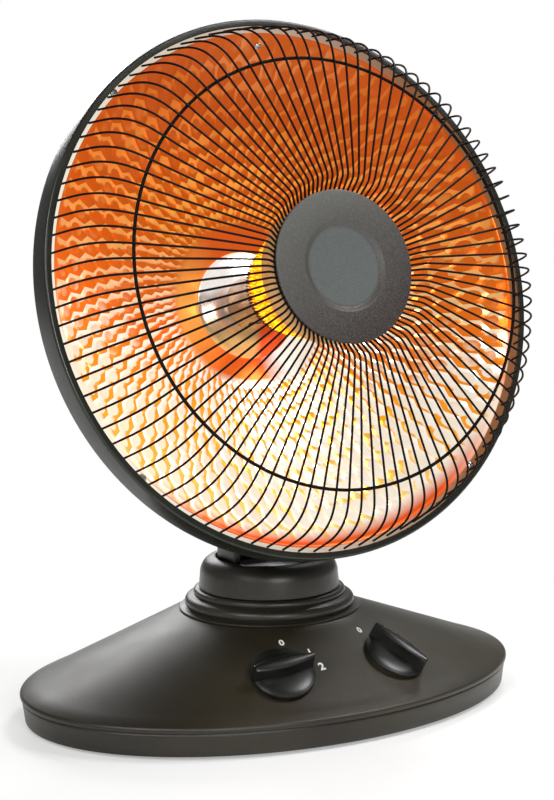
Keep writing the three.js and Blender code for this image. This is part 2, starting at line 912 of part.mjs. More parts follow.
function swingLever() {
  const nearPin = Math.hypot(motorOffset, crankThrow);
  const farPin = motorOffset + crankThrow;
  const slotHalf = crankPin + crankPinClearance;
  const tip = farPin + slotHalf + leverEnd;
  const shape = shapeOf([
    [-leverHalfWidth, 0],
    [leverHalfWidth, 0],
    [leverHalfWidth, tip],
    [-leverHalfWidth, tip],
  ]);
  const slot = new THREE.Path();
  slot.absarc(0, farPin + slotSpare, slotHalf, 0, Math.PI, false);
  slot.absarc(0, nearPin - slotSpare, slotHalf, Math.PI, Math.PI * 2, false);
  shape.holes.push(slot);
  const bar = raised(shape, leverBottom, leverTop);
  const hub = rod(leverHub, leverBottom, leverTop, smallSides);
  const bore = rod(spindleRadius + seatGap, leverBottom - 1, leverTop + 1, smallSides);
  return cut(joined(bar, hub), bore);
}

piece(heater, 'swing_lever', swingLever(), steel);

// ---------------------------------------------------------------- dish

function parabola(r) {
  return -reflectorVertex + (r * r) / (4 * reflectorFocus);
}

function reflector() {
  const steps = 4;
  const radii = [reflectorHole];
  for (let i = 0; i <= steps; i += 1) {
    radii.push(THREE.MathUtils.lerp(socketRadius + 1, reflectorRim, i / steps));
  }
  const front = radii.map((r) => [r, parabola(r)]);
  const back = radii.map((r) => [r, parabola(r) - sheet]).reverse();
  return turned([
    ...front,
    [reflectorRim + reflectorStep, flangeFront],
    [flangeRadius, flangeFront],
    [flangeRadius, flangeFront - sheet],
    [reflectorRim + reflectorStep + sheet * 0.6, flangeFront - sheet],
    ...back,
  ], dishSides);
}

const shellRim = flangeFront - sheet - seatGap;
const shellProfile = [
  [shellWall, -19],
  [shellWall - 4.9, -32],
  [shellWall - 32.9, -57.5],
  [120, -75],
  [88, -88],
  [55, -shellBack],
];

// The shell's outline, or the same outline grown to clear what is fixed to it.
function shellOutside(grow) {
  return shellProfile.map(([r, z]) => {
    const length = Math.hypot(r, z);
    return [r + (grow * r) / length, z - (grow * -z) / length];
  });
}

function polar(radius, angle) {
  return [radius * Math.cos(angle), radius * Math.sin(angle)];
}

function rimScrewSpots() {
  const spots = [];
  for (let i = 0; i < rimScrewCount; i += 1) {
    spots.push(polar(rimScrewRadius, rimScrewTurn + (i / rimScrewCount) * Math.PI * 2));
  }
  return spots;
}

function dishShell() {
  const outside = shellProfile;
  const inside = shellOutside(-shellSheet).reverse();
  const hole = socketNeck + seatGap;
  const body = turned([
    [shellLip, shellRim],
    [flangeRadius, shellRim],
    [flangeRadius, shellRim - shellSheet],
    [shellWall, shellRim - shellSheet],
    ...outside,
    [hole, -shellBack],
    [hole, -shellBack + shellSheet],
    ...inside,
    [shellWall - shellSheet, shellRim - shellSheet],
    [shellLip, shellRim - shellSheet],
  ], dishSides);
  const rimHoles = rimScrewSpots().map(([x, y]) => (
    rod(rimScrewShank + seatGap, shellRim - 3, shellRim + 1).translate(x, y, 0)
  ));
  const armHoles = armScrewHeights.map((y) => (
    rod(armScrewRadius + seatGap, -shellBack - 5, -40).translate(0, y, 0)
  ));
  const rearHoles = [-rearScrewSpread, rearScrewSpread].map((x) => (
    rod(armScrewRadius + seatGap, -shellBack - 5, -shellBack + 5).translate(x, 0, 0)
  ));
  return cut(body, ...rimHoles, ...armHoles, ...rearHoles);
}

function rimBand() {
  return turned([
    [bandHem, -bandDepth],
    [bandRadius, -bandDepth],
    [bandRadius, 0],
    [bandRadius - 2, bandFront],
    [bandLip + 0.9, bandFront],
    [bandLip, bandFront * 0.6],
    [bandLip, 0],
    [bandRadius - bandWall, 0],
    [bandRadius - bandWall, -bandDepth + bandWall],
    [bandHem, -bandDepth + bandWall],
  ], rimSides);
}

function reflectorWithHoles() {
  const holes = rimScrewSpots().map(([x, y]) => (
    rod(rimScrewShank + seatGap, flangeFront - 3, flangeFront + 1).translate(x, y, 0)
  ));
  const topZ = parabola(topScrewRadius);
  const topHole = rod(rimScrewShank + seatGap, topZ - 4, topZ + 3)
    .translate(0, topScrewRadius, 0);
  return cut(reflector(), ...holes, topHole);
}

piece(dish, 'reflector', reflectorWithHoles(), mirror);
piece(dish, 'dish_shell', dishShell(), paint);
piece(dish, 'rim_band', rimBand(), olivePaint);

rimScrewSpots().forEach(([x, y], index) => {
  const shape = screw(rimScrewHead, rimScrewHeadHeight, rimScrewShank, rimScrewLength).rotateX(Math.PI);
  const seat = flangeFront + seatGap;
  piece(dish, `rim_screw_${index + 1}`, shape, steel).position.set(x, y, seat);
});

// The screw high on the reflector stands square to the paraboloid.
const topSlope = Math.atan(topScrewRadius / (2 * reflectorFocus));
const topScrew = piece(
  dish,
  'reflector_screw',
  screw(rimScrewHead, rimScrewHeadHeight, topScrewShank, topScrewLength)
    .rotateX(Math.PI + topSlope),
  steel,
);
topScrew.position.set(
  0,
  topScrewRadius - Math.sin(topSlope) * seatGap * 2,
  parabola(topScrewRadius) + Math.cos(topSlope) * seatGap * 2,
);

[Math.PI / 2, rimScrewTurn].forEach((angle, index) => {
  const name = index === 0 ? 'band_plate_top' : 'band_plate_side';
  const place = bandRadius + seatGap + bandPlateThickness / 2;
  const plate = block(bandPlateThickness, bandPlateLength, bandPlateWidth, place, 0, -bandDepth / 2)
    .rotateZ(angle);
  piece(dish, name, plate, olivePaint);
});

// Arm between the hinge and the shell
const armFace = -armBack;

function tiltArm() {
  const hinge = [-hingeBelowAxis, -hingeBehindRim];
  const web = acrossX(shapeOf([
    [hinge[0] - earRadius * 0.2, hinge[1] - earRadius * 0.95],
    [armFlat[0], armFace],
    [armFlat[1], armFace],
    [armFlat[1], armFace + armFlatDepth],
    ...armNeck,
    [hinge[0] + earRadius * 0.7, hinge[1] + earRadius * 0.7],
  ]), -armWidth / 2, armWidth / 2);
  const barrelHalf = earInner - runGap;
  const barrel = rod(earRadius, -barrelHalf, barrelHalf, smallSides)
    .rotateY(Math.PI / 2).translate(0, ...hinge);
  const bore = rod(hingeBoltRadius + runGap, -barrelHalf - 1, barrelHalf + 1, turningSides)
    .rotateY(Math.PI / 2).translate(0, ...hinge);
  const clear = shellOutside(seatGap);
  const shellSpace = turned([
    [0, 20],
    [shellWall + seatGap, 20],
    ...clear,
    [0, -shellBack - seatGap],
  ], dishSides);
  const holes = armScrewHeights.map((y) => (
    rod(armScrewRadius + seatGap, armFace - 1, -40).translate(0, y, 0)
  ));
  return cut(joined(web, barrel), bore, shellSpace, ...holes);
}

piece(dish, 'tilt_arm', tiltArm(), paint);

armScrewHeights.forEach((y, index) => {
  const shape = screw(armScrewHead, armScrewHeadHeight, armScrewRadius, armScrewLength);
  piece(dish, `arm_screw_${index + 1}`, shape, steel).position.set(0, y, armFace - seatGap);
});

function rearCover() {
  const open = -shellBack - seatGap;
  const back = open - rearCoverDepth;
  const body = turned([
    [0, back],
    [rearCoverRadius - rearCoverLean, back],
    [rearCoverRadius, open],
    [rearCoverRadius - rearCoverWall, open],
    [rearCoverRadius - rearCoverLean - rearCoverWall, back + rearCoverWall],
    [0, back + rearCoverWall],
  ]);
  const holes = [-rearScrewSpread, rearScrewSpread].map((x) => (
    rod(armScrewRadius + seatGap, back - 1, back + rearCoverWall + 1).translate(x, 0, 0)
  ));
  return cut(body, ...holes);
}

piece(dish, 'rear_cover', rearCover(), moulding);

[-rearScrewSpread, rearScrewSpread].forEach((x, index) => {
  const shape = screw(rearScrewHead, rearScrewHeadHeight, armScrewRadius, rearCoverDepth + 4);
  const seat = -shellBack - seatGap - rearCoverDepth - seatGap;
  piece(dish, `rear_screw_${index + 1}`, shape, steel).position.set(x, 0, seat);
});

// ---------------------------------------------------------------- element

function elementSocket() {
  const rimBack = parabola(socketRadius) + seatGap * 1.5;
  return turned([
    [0, -socketTail],
    [socketNeck, -socketTail],
    [socketNeck, rimBack],
    [socketRadius, rimBack],
    [socketRadius, rimBack + socketThickness * 0.6],
    [socketRadius - 2, rimBack + socketThickness],
    [socketRadius * 0.7, socketFront - 1.6],
    [coreNeck + 2, socketFront],
    [0, socketFront],
  ]);
}

piece(dish, 'element_socket', elementSocket(), socketMetal);

// The coil's middle line follows a cone, and runs level past the end bends.
function coilRadiusAt(z) {
  const level = THREE.MathUtils.clamp(z, coilStart - coilBend, coilFinish + coilBend);
  return coilStartRadius + coilCone * (level - coilStart);
}

function coreRadiusAt(z) {
  return coilRadiusAt(z) - (coilWireRadius + coilClearance) * Math.hypot(1, coilCone);
}

// The wire's middle line: turns round the cone, and at each end a quarter
// bend on the cone into a straight end along the axis.
const coilEndLength = coilWireRadius * 2;
const coilTail = coilStart - coilBend - coilEndLength;
const coilFinish = coreFlangeBack - seatGap - coilEndLength - coilBend;

function coilLine() {
  const middle = [];
  const total = coilTurns * coilSteps;
  const at = (angle, z) => {
    const radius = coilRadiusAt(z);
    return new THREE.Vector3(radius * Math.cos(angle), radius * Math.sin(angle), z);
  };
  const bendSteps = 4;
  const startArc = coilBend / coilRadiusAt(coilStart);
  const finishArc = coilBend / coilRadiusAt(coilFinish);
  middle.push(at(-startArc, coilTail));
  for (let i = 0; i < bendSteps; i += 1) {
    const turn = ((i / bendSteps) * Math.PI) / 2;
    middle.push(at(-startArc * Math.cos(turn), coilStart - coilBend * (1 - Math.sin(turn))));
  }
  for (let i = 0; i <= total; i += 1) {
    const share = i / total;
    middle.push(at(share * coilTurns * Math.PI * 2, coilStart + (coilFinish - coilStart) * share));
  }
  const last = coilTurns * Math.PI * 2;
  for (let i = 1; i <= bendSteps; i += 1) {
    const turn = ((i / bendSteps) * Math.PI) / 2;
    middle.push(at(last + finishArc * Math.sin(turn), coilFinish + coilBend * (1 - Math.cos(turn))));
  }
  middle.push(at(last + finishArc, coilFinish + coilBend + coilEndLength));
  return middle;
}

// A round tube along a line of points, with flat ends.
function tubeAlong(line, radius, sides) {
  const count = line.length;
  const positions = [];
  let side = null;
  line.forEach((spot, index) => {
    const before = line[Math.max(index - 1, 0)];
    const after = line[Math.min(index + 1, count - 1)];
    const along = after.clone().sub(before).normalize();
    if (side === null) side = new THREE.Vector3(spot.x, spot.y, 0);
    side = side.clone().addScaledVector(along, -side.dot(along)).normalize();
    const across = along.clone().cross(side);
    for (let i = 0; i < sides; i += 1) {
      const angle = (i / sides) * Math.PI * 2;
      const out = side.clone().multiplyScalar(Math.cos(angle) * radius)
        .addScaledVector(across, Math.sin(angle) * radius);
      positions.push(spot.x + out.x, spot.y + out.y, spot.z + out.z);
    }
  });
  const faces = [];
  for (let ring = 0; ring < count - 1; ring += 1) {
    for (let i = 0; i < sides; i += 1) {
      const j = (i + 1) % sides;
      const [a, b] = [ring * sides + i, ring * sides + j];
      const [c, d] = [a + sides, b + sides];
      faces.push(a, b, d, a, d, c);
    }
  }
  const end = (count - 1) * sides;
  for (let i = 1; i < sides - 1; i += 1) {
    faces.push(0, i + 1, i, end, end + i, end + i + 1);
  }
  return closed(indexed(positions, faces));
}

// Least gap between stretches of the tube that aren't neighbours.
function leastSelfGap(line, radius, apart) {
  let least = Infinity;
  for (let i = 0; i < line.length; i += 1) {
    for (let j = i + apart; j < line.length; j += 1) {
      least = Math.min(least, line[i].distanceTo(line[j]));
    }
  }
  return least - 2 * radius;
}

const coilPath = coilLine();
const coilGap = leastSelfGap(coilPath, coilWireRadius, coilSteps / 2);
console.log(`heating coil: least gap to itself ${coilGap.toFixed(2)} mm`);
piece(dish, 'heating_coil', tubeAlong(coilPath, coilWireRadius, coilSides), glow);

function elementCore() {
  const coneBack = coilStart - coilWireRadius - 1;
  const body = turned([
    [0, socketFront + seatGap],
    [coreNeck, socketFront + seatGap],
    [coreNeck, coreNeckTop],
    [coreRadiusAt(coilTail), coilTail - 2],
    [coreRadiusAt(coneBack), coneBack],
    [coreRadiusAt(coreFlangeBack), coilFinish + coilBend],
    [coreRadiusAt(coreFlangeBack), coreFlangeBack],
    [coreFlangeStart, coreFlangeBack],
    [coreFlangeRadius, coreFront - 6],
    [coreFlangeRadius - 6, coreFront],
    [coreBoreFront, coreFront],
    [coreBoreBack, coilStart],
    [0, coilStart],
  ]);
  // A post that the coil's rear end meets.
  const postAngle = -coilBend / coilRadiusAt(coilStart);
  const postSpot = polar(coilRadiusAt(coilTail), postAngle);
  const post = rod(coilWireRadius * 2, coreNeckTop - 2, coilTail - seatGap)
    .translate(...postSpot, 0);
  return joined(body, post);
}

piece(dish, 'element_core', elementCore(), ceramic);

// ---------------------------------------------------------------- guard

// Corners of every wire, ring by ring along it, in the plane of its radius.
function wireStops() {
  return [
    [innerRing[0], innerRing[2]],
    [innerRing[1], innerRing[2]],
    wireKink,
    [middleRing[0], middleRing[2]],
    [middleRing[1], middleRing[3]],
    wireShoulder,
    wireBend,
    wireEnd,
  ];
}

// Three-sided wires share their corners with the rings that join them, so the
// whole guard is one body. A crossing lies between two stops.
function wireGuard() {
  const stops = wireStops();
  const crossings = [0, 3];
  const positions = [];
  const section = [90, 210, 330].map((degrees) => THREE.MathUtils.degToRad(degrees));
  for (let wire = 0; wire < wireCount; wire += 1) {
    const angle = ((wire + 0.5) / wireCount) * Math.PI * 2;
    stops.forEach(([r, z], index) => {
      const before = stops[Math.max(index - 1, 0)];
      const after = stops[Math.min(index + 1, stops.length - 1)];
      const length = Math.hypot(after[0] - before[0], after[1] - before[1]);
      const slope = [(after[0] - before[0]) / length, (after[1] - before[1]) / length];
      section.forEach((turn) => {
        const sideways = Math.cos(turn) * wireRadius;
        const outward = Math.sin(turn) * wireRadius;
        const reach = r - slope[1] * outward;
        positions.push(
          reach * Math.cos(angle) - sideways * Math.sin(angle),
          reach * Math.sin(angle) + sideways * Math.cos(angle),
          z + slope[0] * outward,
        );
      });
    });
  }
  const corner = (wire, stop, i) => ((wire % wireCount) * stops.length + stop) * 3 + (i % 3);
  const faces = [];
  const quad = (a, b, c, d) => faces.push([a, b, c], [a, c, d]);
  const last = stops.length - 1;
  for (let wire = 0; wire < wireCount; wire += 1) {
    faces.push([corner(wire, last, 0), corner(wire, last, 1), corner(wire, last, 2)]);
    faces.push([corner(wire, 0, 0), corner(wire, 0, 2), corner(wire, 0, 1)]);
    for (let stop = 0; stop < last; stop += 1) {
      const crossing = crossings.includes(stop);
      for (let i = 0; i < 3; i += 1) {
        const open = crossing && i !== 1;
        if (!open) {
          quad(
            corner(wire, stop, i),
            corner(wire, stop, i + 1),
            corner(wire, stop + 1, i + 1),
            corner(wire, stop + 1, i),
          );
        }
      }
    }
    crossings.forEach((stop) => {
      // The right-hand face of this wire looks at the left-hand face of the next.
      const here = [
        corner(wire, stop, 0),
        corner(wire, stop, 1),
        corner(wire, stop + 1, 1),
        corner(wire, stop + 1, 0),
      ];
      const there = [
        corner(wire + 1, stop, 0),
        corner(wire + 1, stop, 2),
        corner(wire + 1, stop + 1, 2),
        corner(wire + 1, stop + 1, 0),
      ];
      for (let i = 0; i < 4; i += 1) {
        const j = (i + 1) % 4;
        quad(here[i], here[j], there[j], there[i]);
      }
    });
  }
  return closed(indexed(positions, faces.flat()));
}

piece(dish, 'wire_guard', wireGuard(), wirePaint);

// Hub: a disc in front of the wires and a plate behind them
const ringTop = innerRing[2] + wireRadius;
const ringBottom = innerRing[2] - wireRadius / 2;
const hubPlateFront = ringBottom - seatGap;
const hubPlateBack = hubPlateFront - hubPlateThickness;

function hubDisc() {
  const back = hubFront - hubThickness;
  const disc = turned([
    [0, back],
    [innerRing[0] - 1.5, back],
    [innerRing[0] - 1.5, ringTop + seatGap],
    [innerRing[1] - 0.5, ringTop + seatGap],
    [innerRing[1] - 0.5, back],
    [hubRadius, back],
    [hubRadius, hubFront - 0.8],
    [hubRadius - 0.8, hubFront],
    [hubDishRadius + 0.8, hubFront],
    [hubDishRadius - 0.8, hubFront - hubDishDepth],
    [0, hubFront - hubDishDepth],
  ]);
  const boss = rod(hubBoss, hubPlateFront + seatGap, back + 0.5, smallSides);
  const bore = rod(hubScrewRadius + seatGap, hubPlateFront, back - 0.5);
  return cut(joined(disc, boss), bore);
}

piece(dish, 'hub_disc', hubDisc(), hubPaint);
piece(
  dish,
  'hub_plate',
  tube(hubPlateRadius, hubScrewRadius + seatGap, hubPlateBack, hubPlateFront, smallSides),
  paint,
);
const hubScrewLength = hubFront - hubThickness - 1 - hubPlateBack;
piece(
  dish,
  'hub_screw',
  screw(hubScrewHead, hubScrewHeadHeight, hubScrewRadius, hubScrewLength),
  steel,
).position.set(0, 0, hubPlateBack - seatGap);

export default heater;
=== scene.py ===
import json
import math
import random

import bmesh
import bpy
from mathutils import Matrix, Vector

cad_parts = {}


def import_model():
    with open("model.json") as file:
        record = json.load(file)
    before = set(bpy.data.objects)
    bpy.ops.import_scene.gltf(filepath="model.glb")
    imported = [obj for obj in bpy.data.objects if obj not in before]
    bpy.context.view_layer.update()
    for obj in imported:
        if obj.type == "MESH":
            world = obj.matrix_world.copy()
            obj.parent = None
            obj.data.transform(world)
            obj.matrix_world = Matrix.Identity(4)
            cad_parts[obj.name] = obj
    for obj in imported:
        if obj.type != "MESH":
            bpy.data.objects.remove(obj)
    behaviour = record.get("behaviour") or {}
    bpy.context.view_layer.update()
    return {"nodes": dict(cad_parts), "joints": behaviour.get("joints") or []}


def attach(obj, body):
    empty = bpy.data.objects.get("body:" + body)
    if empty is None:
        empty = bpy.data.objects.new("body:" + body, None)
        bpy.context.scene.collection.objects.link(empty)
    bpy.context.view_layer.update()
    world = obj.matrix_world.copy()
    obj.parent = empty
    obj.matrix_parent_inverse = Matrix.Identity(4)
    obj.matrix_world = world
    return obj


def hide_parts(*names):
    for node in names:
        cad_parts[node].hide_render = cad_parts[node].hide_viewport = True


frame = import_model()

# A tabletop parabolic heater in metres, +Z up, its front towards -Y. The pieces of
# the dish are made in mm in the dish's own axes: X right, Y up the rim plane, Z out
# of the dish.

MM = 0.001


# ---- sizes, mm

# Place of the dish: its tilt back, and its rim plane seen from the hinge
DISH_TILT = math.radians(14.7)
RIM_ABOVE_HINGE = 157.2
RIM_BEFORE_HINGE = 90.2

# Reflector
VERTEX_DEPTH = 81.5
FOCUS = 102.0
REFLECTOR_HOLE = 22.0
DIMPLED_FROM = 57.0
REFLECTOR_RIM = 177.6
FLANGE_RADIUS = 186.3
FLANGE_FRONT = -2.4
FLANGE_SCREW_RADIUS = 181.4
FLANGE_SCREW_TURN = 41.25
SHEET = 0.9
DIMPLES_AROUND = 80
DIMPLE_ROW = 3.4
DIMPLE_ROW_GROWTH = 0.0758
DIMPLE_STEPS = 4
DIMPLE_SLOPE = 0.3
SHELL_PROFILE = [(184.9, -19), (180, -32), (152, -57.5), (120, -75), (88, -88), (55, -96)]
SHELL_BEADS = (168, 104)
REAR_COVER_BACK = -114.3

# Rim band
BAND_RADIUS = 188.0
BAND_FRONT = 2.5
BAND_BACK = -18.0
BAND_LIP = 183.0
BAND_HEM = 185.4
BAND_WALL = 1.2

# Guard
WIRE_COUNT = 96
WIRE_RADIUS = 0.78
RING_WIRE_RADIUS = 1.15
MIDDLE_RING = (146.0, 48.1)
INNER_RING = (47.5, 54.6)
RING_SET_BACK = 1.4
GUARD_PROFILE = [
    (46.3, 55.4), (52.0, 58.8), (59.0, 64.6), (63.5, 65.5), (72, 64.1), (104, 57.6),
    (134, 50.9), (150, 47.3), (159.5, 43.9), (166.6, 38.6), (172.2, 30.8), (176.2, 21.5),
    (179.5, 9.0), (181.9, -1.5),
]

# Element
COIL_START_RADIUS = 29.5
COIL_START = -19.8
COIL_FINISH = 23.6
COIL_CONE = 0.2875
COIL_TURNS = 7
CURL_RADIUS = 1.7
CURL_WIRE = 0.52
CURL_PITCH = 2.3
CURL_STEPS = 8
SOCKET_RADIUS = 39.0
CORE_FRONT = 50.0
CORE_BELOW_COIL = 3.6

# Hub
HUB_RADIUS = 52.0
HUB_FRONT = 61.6
HUB_DISH = 29.0
HUB_DIP = 1.9

# Base
BASE_HALF_WIDTH = 186.0
BASE_HALF_DEPTH = 132.0
RIDGE_HEIGHT = 21.0
RIDGE_ROUND = 2.6
NECK_RADIUS = 65.0
NECK_HEIGHT = 66.5
COVER_WALL = 2.4
FOOT_PLACE = (110, 62)
FOOT_REACH = 2.9
PLUNGER_PLACE = -118
GLAND_HEIGHT = 11.5

# Yoke and hinge
EAR_RADIUS = 12.5
EAR_PLACE = 30.2
HINGE_CAP_PLACE = 35.5

# Knobs
KNOB_TURN = math.radians(69.6)
KNOB_RISE = 0.475
KNOB_RADIUS = 22.0
KNOB_SKIRT = 6.7
KNOB_HEIGHT = 16.0
HEAT_GRIP_TURN = math.radians(-5)
SWING_GRIP_TURN = math.radians(123)

# Numbers by the knobs: the digit, its place round the knob in degrees, its distance, its height
HEAT_MARKS = (("0", 62, 30, 5.0), ("1", 24, 31, 5.0), ("2", -2, 30, 6.0))
SWING_MARKS = (("0", 119, 30, 5.0), ("1", 62, 30, 5.0))
PRINT_LIFT = 0.14
PRINT_THICKNESS = 0.12

tilt = next(joint for joint in frame["joints"] if joint["name"] == "head_tilt")
HINGE_HEIGHT = tilt["pos_m"][2] / MM

dish_axes = (
    Matrix.Translation((0, 0, HINGE_HEIGHT * MM))
    @ Matrix.Rotation(math.pi / 2 - DISH_TILT, 4, "X")
    @ Matrix.Translation((0, RIM_ABOVE_HINGE * MM, RIM_BEFORE_HINGE * MM))
)
upright = Matrix.Identity(4)


# ---- materials

def srgb(red, green, blue):
    """A colour given as it looks on screen, 0 to 255, as linear values."""
    def linear(value):
        value /= 255
        return value / 12.92 if value <= 0.04045 else ((value + 0.055) / 1.055) ** 2.4
    return (linear(red), linear(green), linear(blue), 1.0)


def fill(tree, node, inputs):
    """Gives a node's inputs values, or links them to the sockets given."""
    for key, value in inputs.items():
        if isinstance(value, bpy.types.NodeSocket):
            tree.links.new(value, node.inputs[key])
        else:
            node.inputs[key].default_value = value


def add_node(tree, kind, inputs=(), **settings):
    node = tree.nodes.new(kind)
    for key, value in settings.items():
        setattr(node, key, value)
    fill(tree, node, dict(inputs))
    return node


class Nodes:
    """Short names for building one material's node tree."""

    def __init__(self, name):
        self.material = bpy.data.materials.new(name)
        self.material.use_nodes = True
        self.tree = self.material.node_tree
        self.shader = self.tree.nodes["Principled BSDF"]
        self.coords = self.add("ShaderNodeTexCoord").outputs["Object"]

    def add(self, kind, inputs=(), **settings):
        return add_node(self.tree, kind, inputs, **settings)

    def set(self, name, value):
        """Gives the surface a value or a source."""
        fill(self.tree, self.shader, {name: value})

    def map(self, **inputs):
        """Moves, turns or stretches the places that later nodes read."""
        inputs["Vector"] = self.coords
        self.coords = self.add("ShaderNodeMapping", inputs).outputs["Vector"]

    def along_dish(self):
        """Measures places in the dish's own axes from here on."""
        inverse = dish_axes.inverted()
        self.map(Location=inverse.to_translation(), Rotation=inverse.to_euler())

    def axes(self):
        split = self.add("ShaderNodeSeparateXYZ", {"Vector": self.coords})
        return [split.outputs[name] for name in "XYZ"]

    def noise(self, scale, detail=2.0, roughness=0.5):
        inputs = {"Scale": scale, "Detail": detail, "Roughness": roughness, "Vector": self.coords}
        return self.add("ShaderNodeTexNoise", inputs).outputs["Fac"]

    def ramp(self, source, *stops):
        node = self.add("ShaderNodeValToRGB", {"Fac": source})
        elements = node.color_ramp.elements
        while len(elements) < len(stops):
            elements.new(0.5)
        for element, (place, color) in zip(elements, stops):
            element.position = place
            element.color = color
        return node.outputs["Color"]

    def range(self, source, low, high, to_low=0.0, to_high=1.0):
        inputs = {"Value": source, "From Min": low, "From Max": high, "To Min": to_low, "To Max": to_high}
        return self.add("ShaderNodeMapRange", inputs).outputs["Result"]

    def math(self, operation, *values):
        node = self.add("ShaderNodeMath", dict(enumerate(values)), operation=operation)
        return node.outputs["Value"]

    def times(self, first, second):
        return self.math("MULTIPLY", first, second)

    def plus(self, first, second):
        return self.math("ADD", first, second)

    def mix(self, share, first, second, blend="MIX"):
        inputs = {0: share, 6: first, 7: second}
        return self.add("ShaderNodeMix", inputs, data_type="RGBA", blend_type=blend).outputs[2]

    def attribute(self, name):
        return self.add("ShaderNodeAttribute", attribute_name=name).outputs["Fac"]

    def distance(self, x, y):
        return self.math("SQRT", self.plus(self.times(x, x), self.times(y, y)))

    def wander(self, scale, reach):
        """A smooth noise either side of zero."""
        return self.times(self.math("SUBTRACT", self.noise(scale), 0.5), reach)

    def bump(self, height, distance_mm):
        inputs = {"Strength": 1.0, "Distance": distance_mm * MM, "Height": height}
        self.set("Normal", self.add("ShaderNodeBump", inputs).outputs["Normal"])


def varied(low, high):
    """Two colours a little either side of one another."""
    return (0.35, srgb(*low)), (0.65, srgb(*high))


def coated(name, low, high, roughness, grain, grain_mm, metallic=0.0, specular=0.5, cloud=14.0):
    """Paint or moulded plastic: two close tones, a fine grain and uneven gloss."""
    n = Nodes(name)
    n.set("Base Color", n.ramp(n.noise(cloud, 4.0), *varied(low, high)))
    n.set("Metallic", metallic)
    n.set("Specular IOR Level", specular)
    n.set("Roughness", n.range(n.noise(cloud * 3, 3.0), 0.3, 0.7, roughness - 0.04, roughness + 0.05))
    n.bump(n.noise(grain), grain_mm)
    return n.material


def hub_paint_with_painted_shade(low, high, inner, fleck, roughness):
    """Hammered paint with fine pale flecks, a painted shade that darkens it towards the lower right, and
    one cooler grey in the inner dish.
    """
    n = Nodes("hub_paint")
    n.along_dish()
    flecks = n.range(n.noise(2200, 2.0, 0.7), 0.5, 0.66)
    x, y, _ = n.axes()
    # Painted shade: the paint runs from the low tone at the lower right to the high tone at the upper left.
    across = n.math("SUBTRACT", y, n.times(x, 0.6))
    body = n.ramp(n.range(across, -0.05, 0.05), (0.0, srgb(*low)), (1.0, srgb(*high)))
    dish_edge = ((HUB_DISH - 1.5) * MM, (HUB_DISH - 3.5) * MM)
    # The inner dish takes one even cooler grey in place of the painted shade.
    body = n.mix(n.range(n.distance(x, y), *dish_edge), body, srgb(*inner))
    n.set("Base Color", n.mix(n.times(flecks, 0.6), body, srgb(*fleck)))
    n.set("Metallic", 0.15)
    n.set("Roughness", n.range(flecks, 0, 1, roughness, roughness - 0.12))
    n.bump(n.noise(1500, 3.0), 0.12)
    return n.material


def metal(name, low, high, roughness, streak=0.0):
    """Bare metal with faint marks. A streak stretches them along the piece's X axis."""
    n = Nodes(name)
    n.map(Scale=(1 - streak, 1, 1))
    marks = n.noise(700, 4.0, 0.65)
    n.set("Base Color", n.ramp(n.noise(60, 3.0), *varied(low, high)))
    n.set("Metallic", 1.0)
    n.set("Roughness", n.range(marks, 0.3, 0.7, roughness - 0.05, roughness + 0.1))
    n.bump(marks, 0.02)
    return n.material


